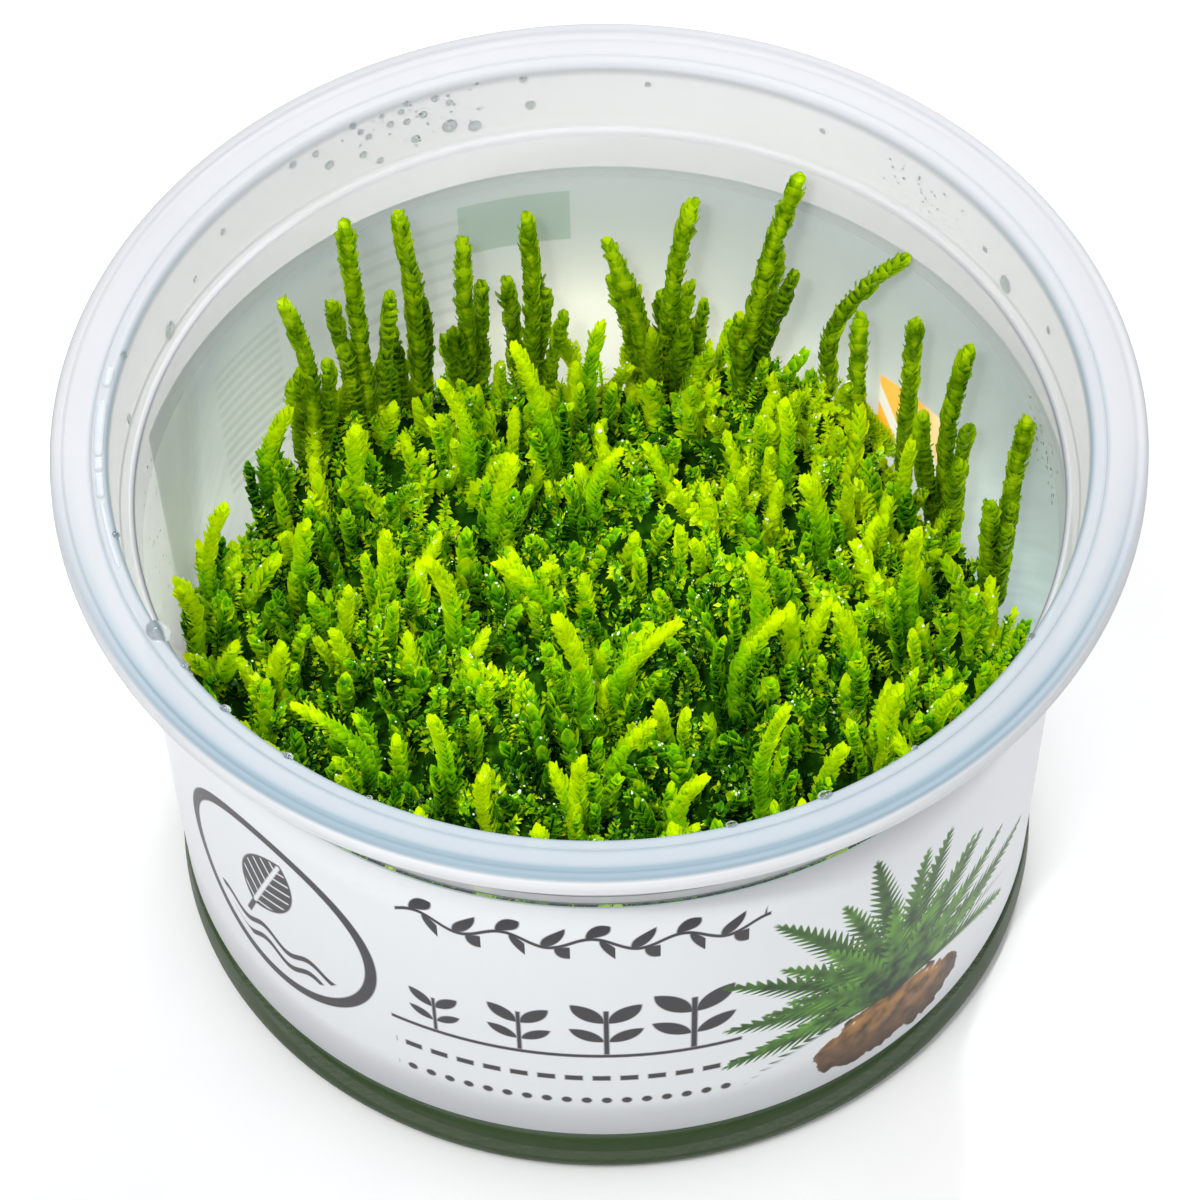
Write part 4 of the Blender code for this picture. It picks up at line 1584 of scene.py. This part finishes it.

# %% [markdown]
# ### Dew and crumbs on the moss
#
# Dew makes the moss sparkle. Its beads are painted pale and opaque, a painted highlight in place
# of the glints that clear water would catch. A bead needs only twenty faces at this size. Between
# the leaves hang a few crumbs of pale gel too. Both take their places from leaves of the finished
# carpet that face up.

# %% Set the dew and the crumbs
def leaf_spots(count, sizes, lift):
    """Random places on leaves of the carpet that look up, with a size each."""
    picks = np.random.default_rng(5 + count)
    spots = []
    for made in carpet:
        total = len(made.data.polygons)
        centres = np.empty(total * 3)
        normals = np.empty(total * 3)
        made.data.polygons.foreach_get("center", centres)
        made.data.polygons.foreach_get("normal", normals)
        centres, normals = centres.reshape(-1, 3), normals.reshape(-1, 3)
        facing = np.flatnonzero(normals[:, 2] > 0.25)
        for index in picks.choice(facing, count // len(carpet)):
            size = (sizes[0] + (sizes[1] - sizes[0]) * picks.uniform() ** 3.0) * MM
            spots.append((centres[index] + normals[index] * size * lift, normals[index], size))
    return spots


# Painted highlight: the dew is pale lime to white and opaque, standing in for the glints of clear water.
dew_finish, m, shader = finish("dew_painted_highlight", Roughness=0.05, IOR=1.33, Specular_IOR_Level=1.0)
ripple = m.noise(900.0, place=m.place())
connect(m, shader, Base_Color=m.tint(ripple, (0.62, 0.80, 0.42), (0.98, 1.0, 0.92)))
dew = set_beads("dew", leaf_spots(4200, (0.05, 0.18), 0.7), 1, 0.9, dew_finish)
crumb_finish, m, shader = finish("gel_crumbs", Roughness=0.3)
cloud = m.noise(1500.0, 2.0, m.place())
connect(m, shader, Base_Color=m.tint(cloud.between(0.35, 0.65), (0.72, 0.86, 0.22), (1.0, 1.0, 0.85)))
crumbs = set_beads("gel_crumbs", leaf_spots(260, (0.10, 0.30), 0.3), 1, 0.5, crumb_finish)
for made in (dew, crumbs):
    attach(made, "root")
print("dew and crumbs:", len(dew.data.polygons), "and", len(crumbs.data.polygons), "faces")

# %% Put the makers away
for made in [leaf, blunt, tiny, *upright.objects, *open_kinds.objects, *loose.objects]:
    bpy.data.objects.remove(made)
for kinds in (upright, open_kinds, loose):
    bpy.data.collections.remove(kinds)

# %% [markdown]
# ## Sizes
#
# The dressed model may not outgrow the frame. We print the frame's box.

# %% Print the frame's box
print("cad box", [tuple(round(v, 4) for v in corner) for corner in cad_box])
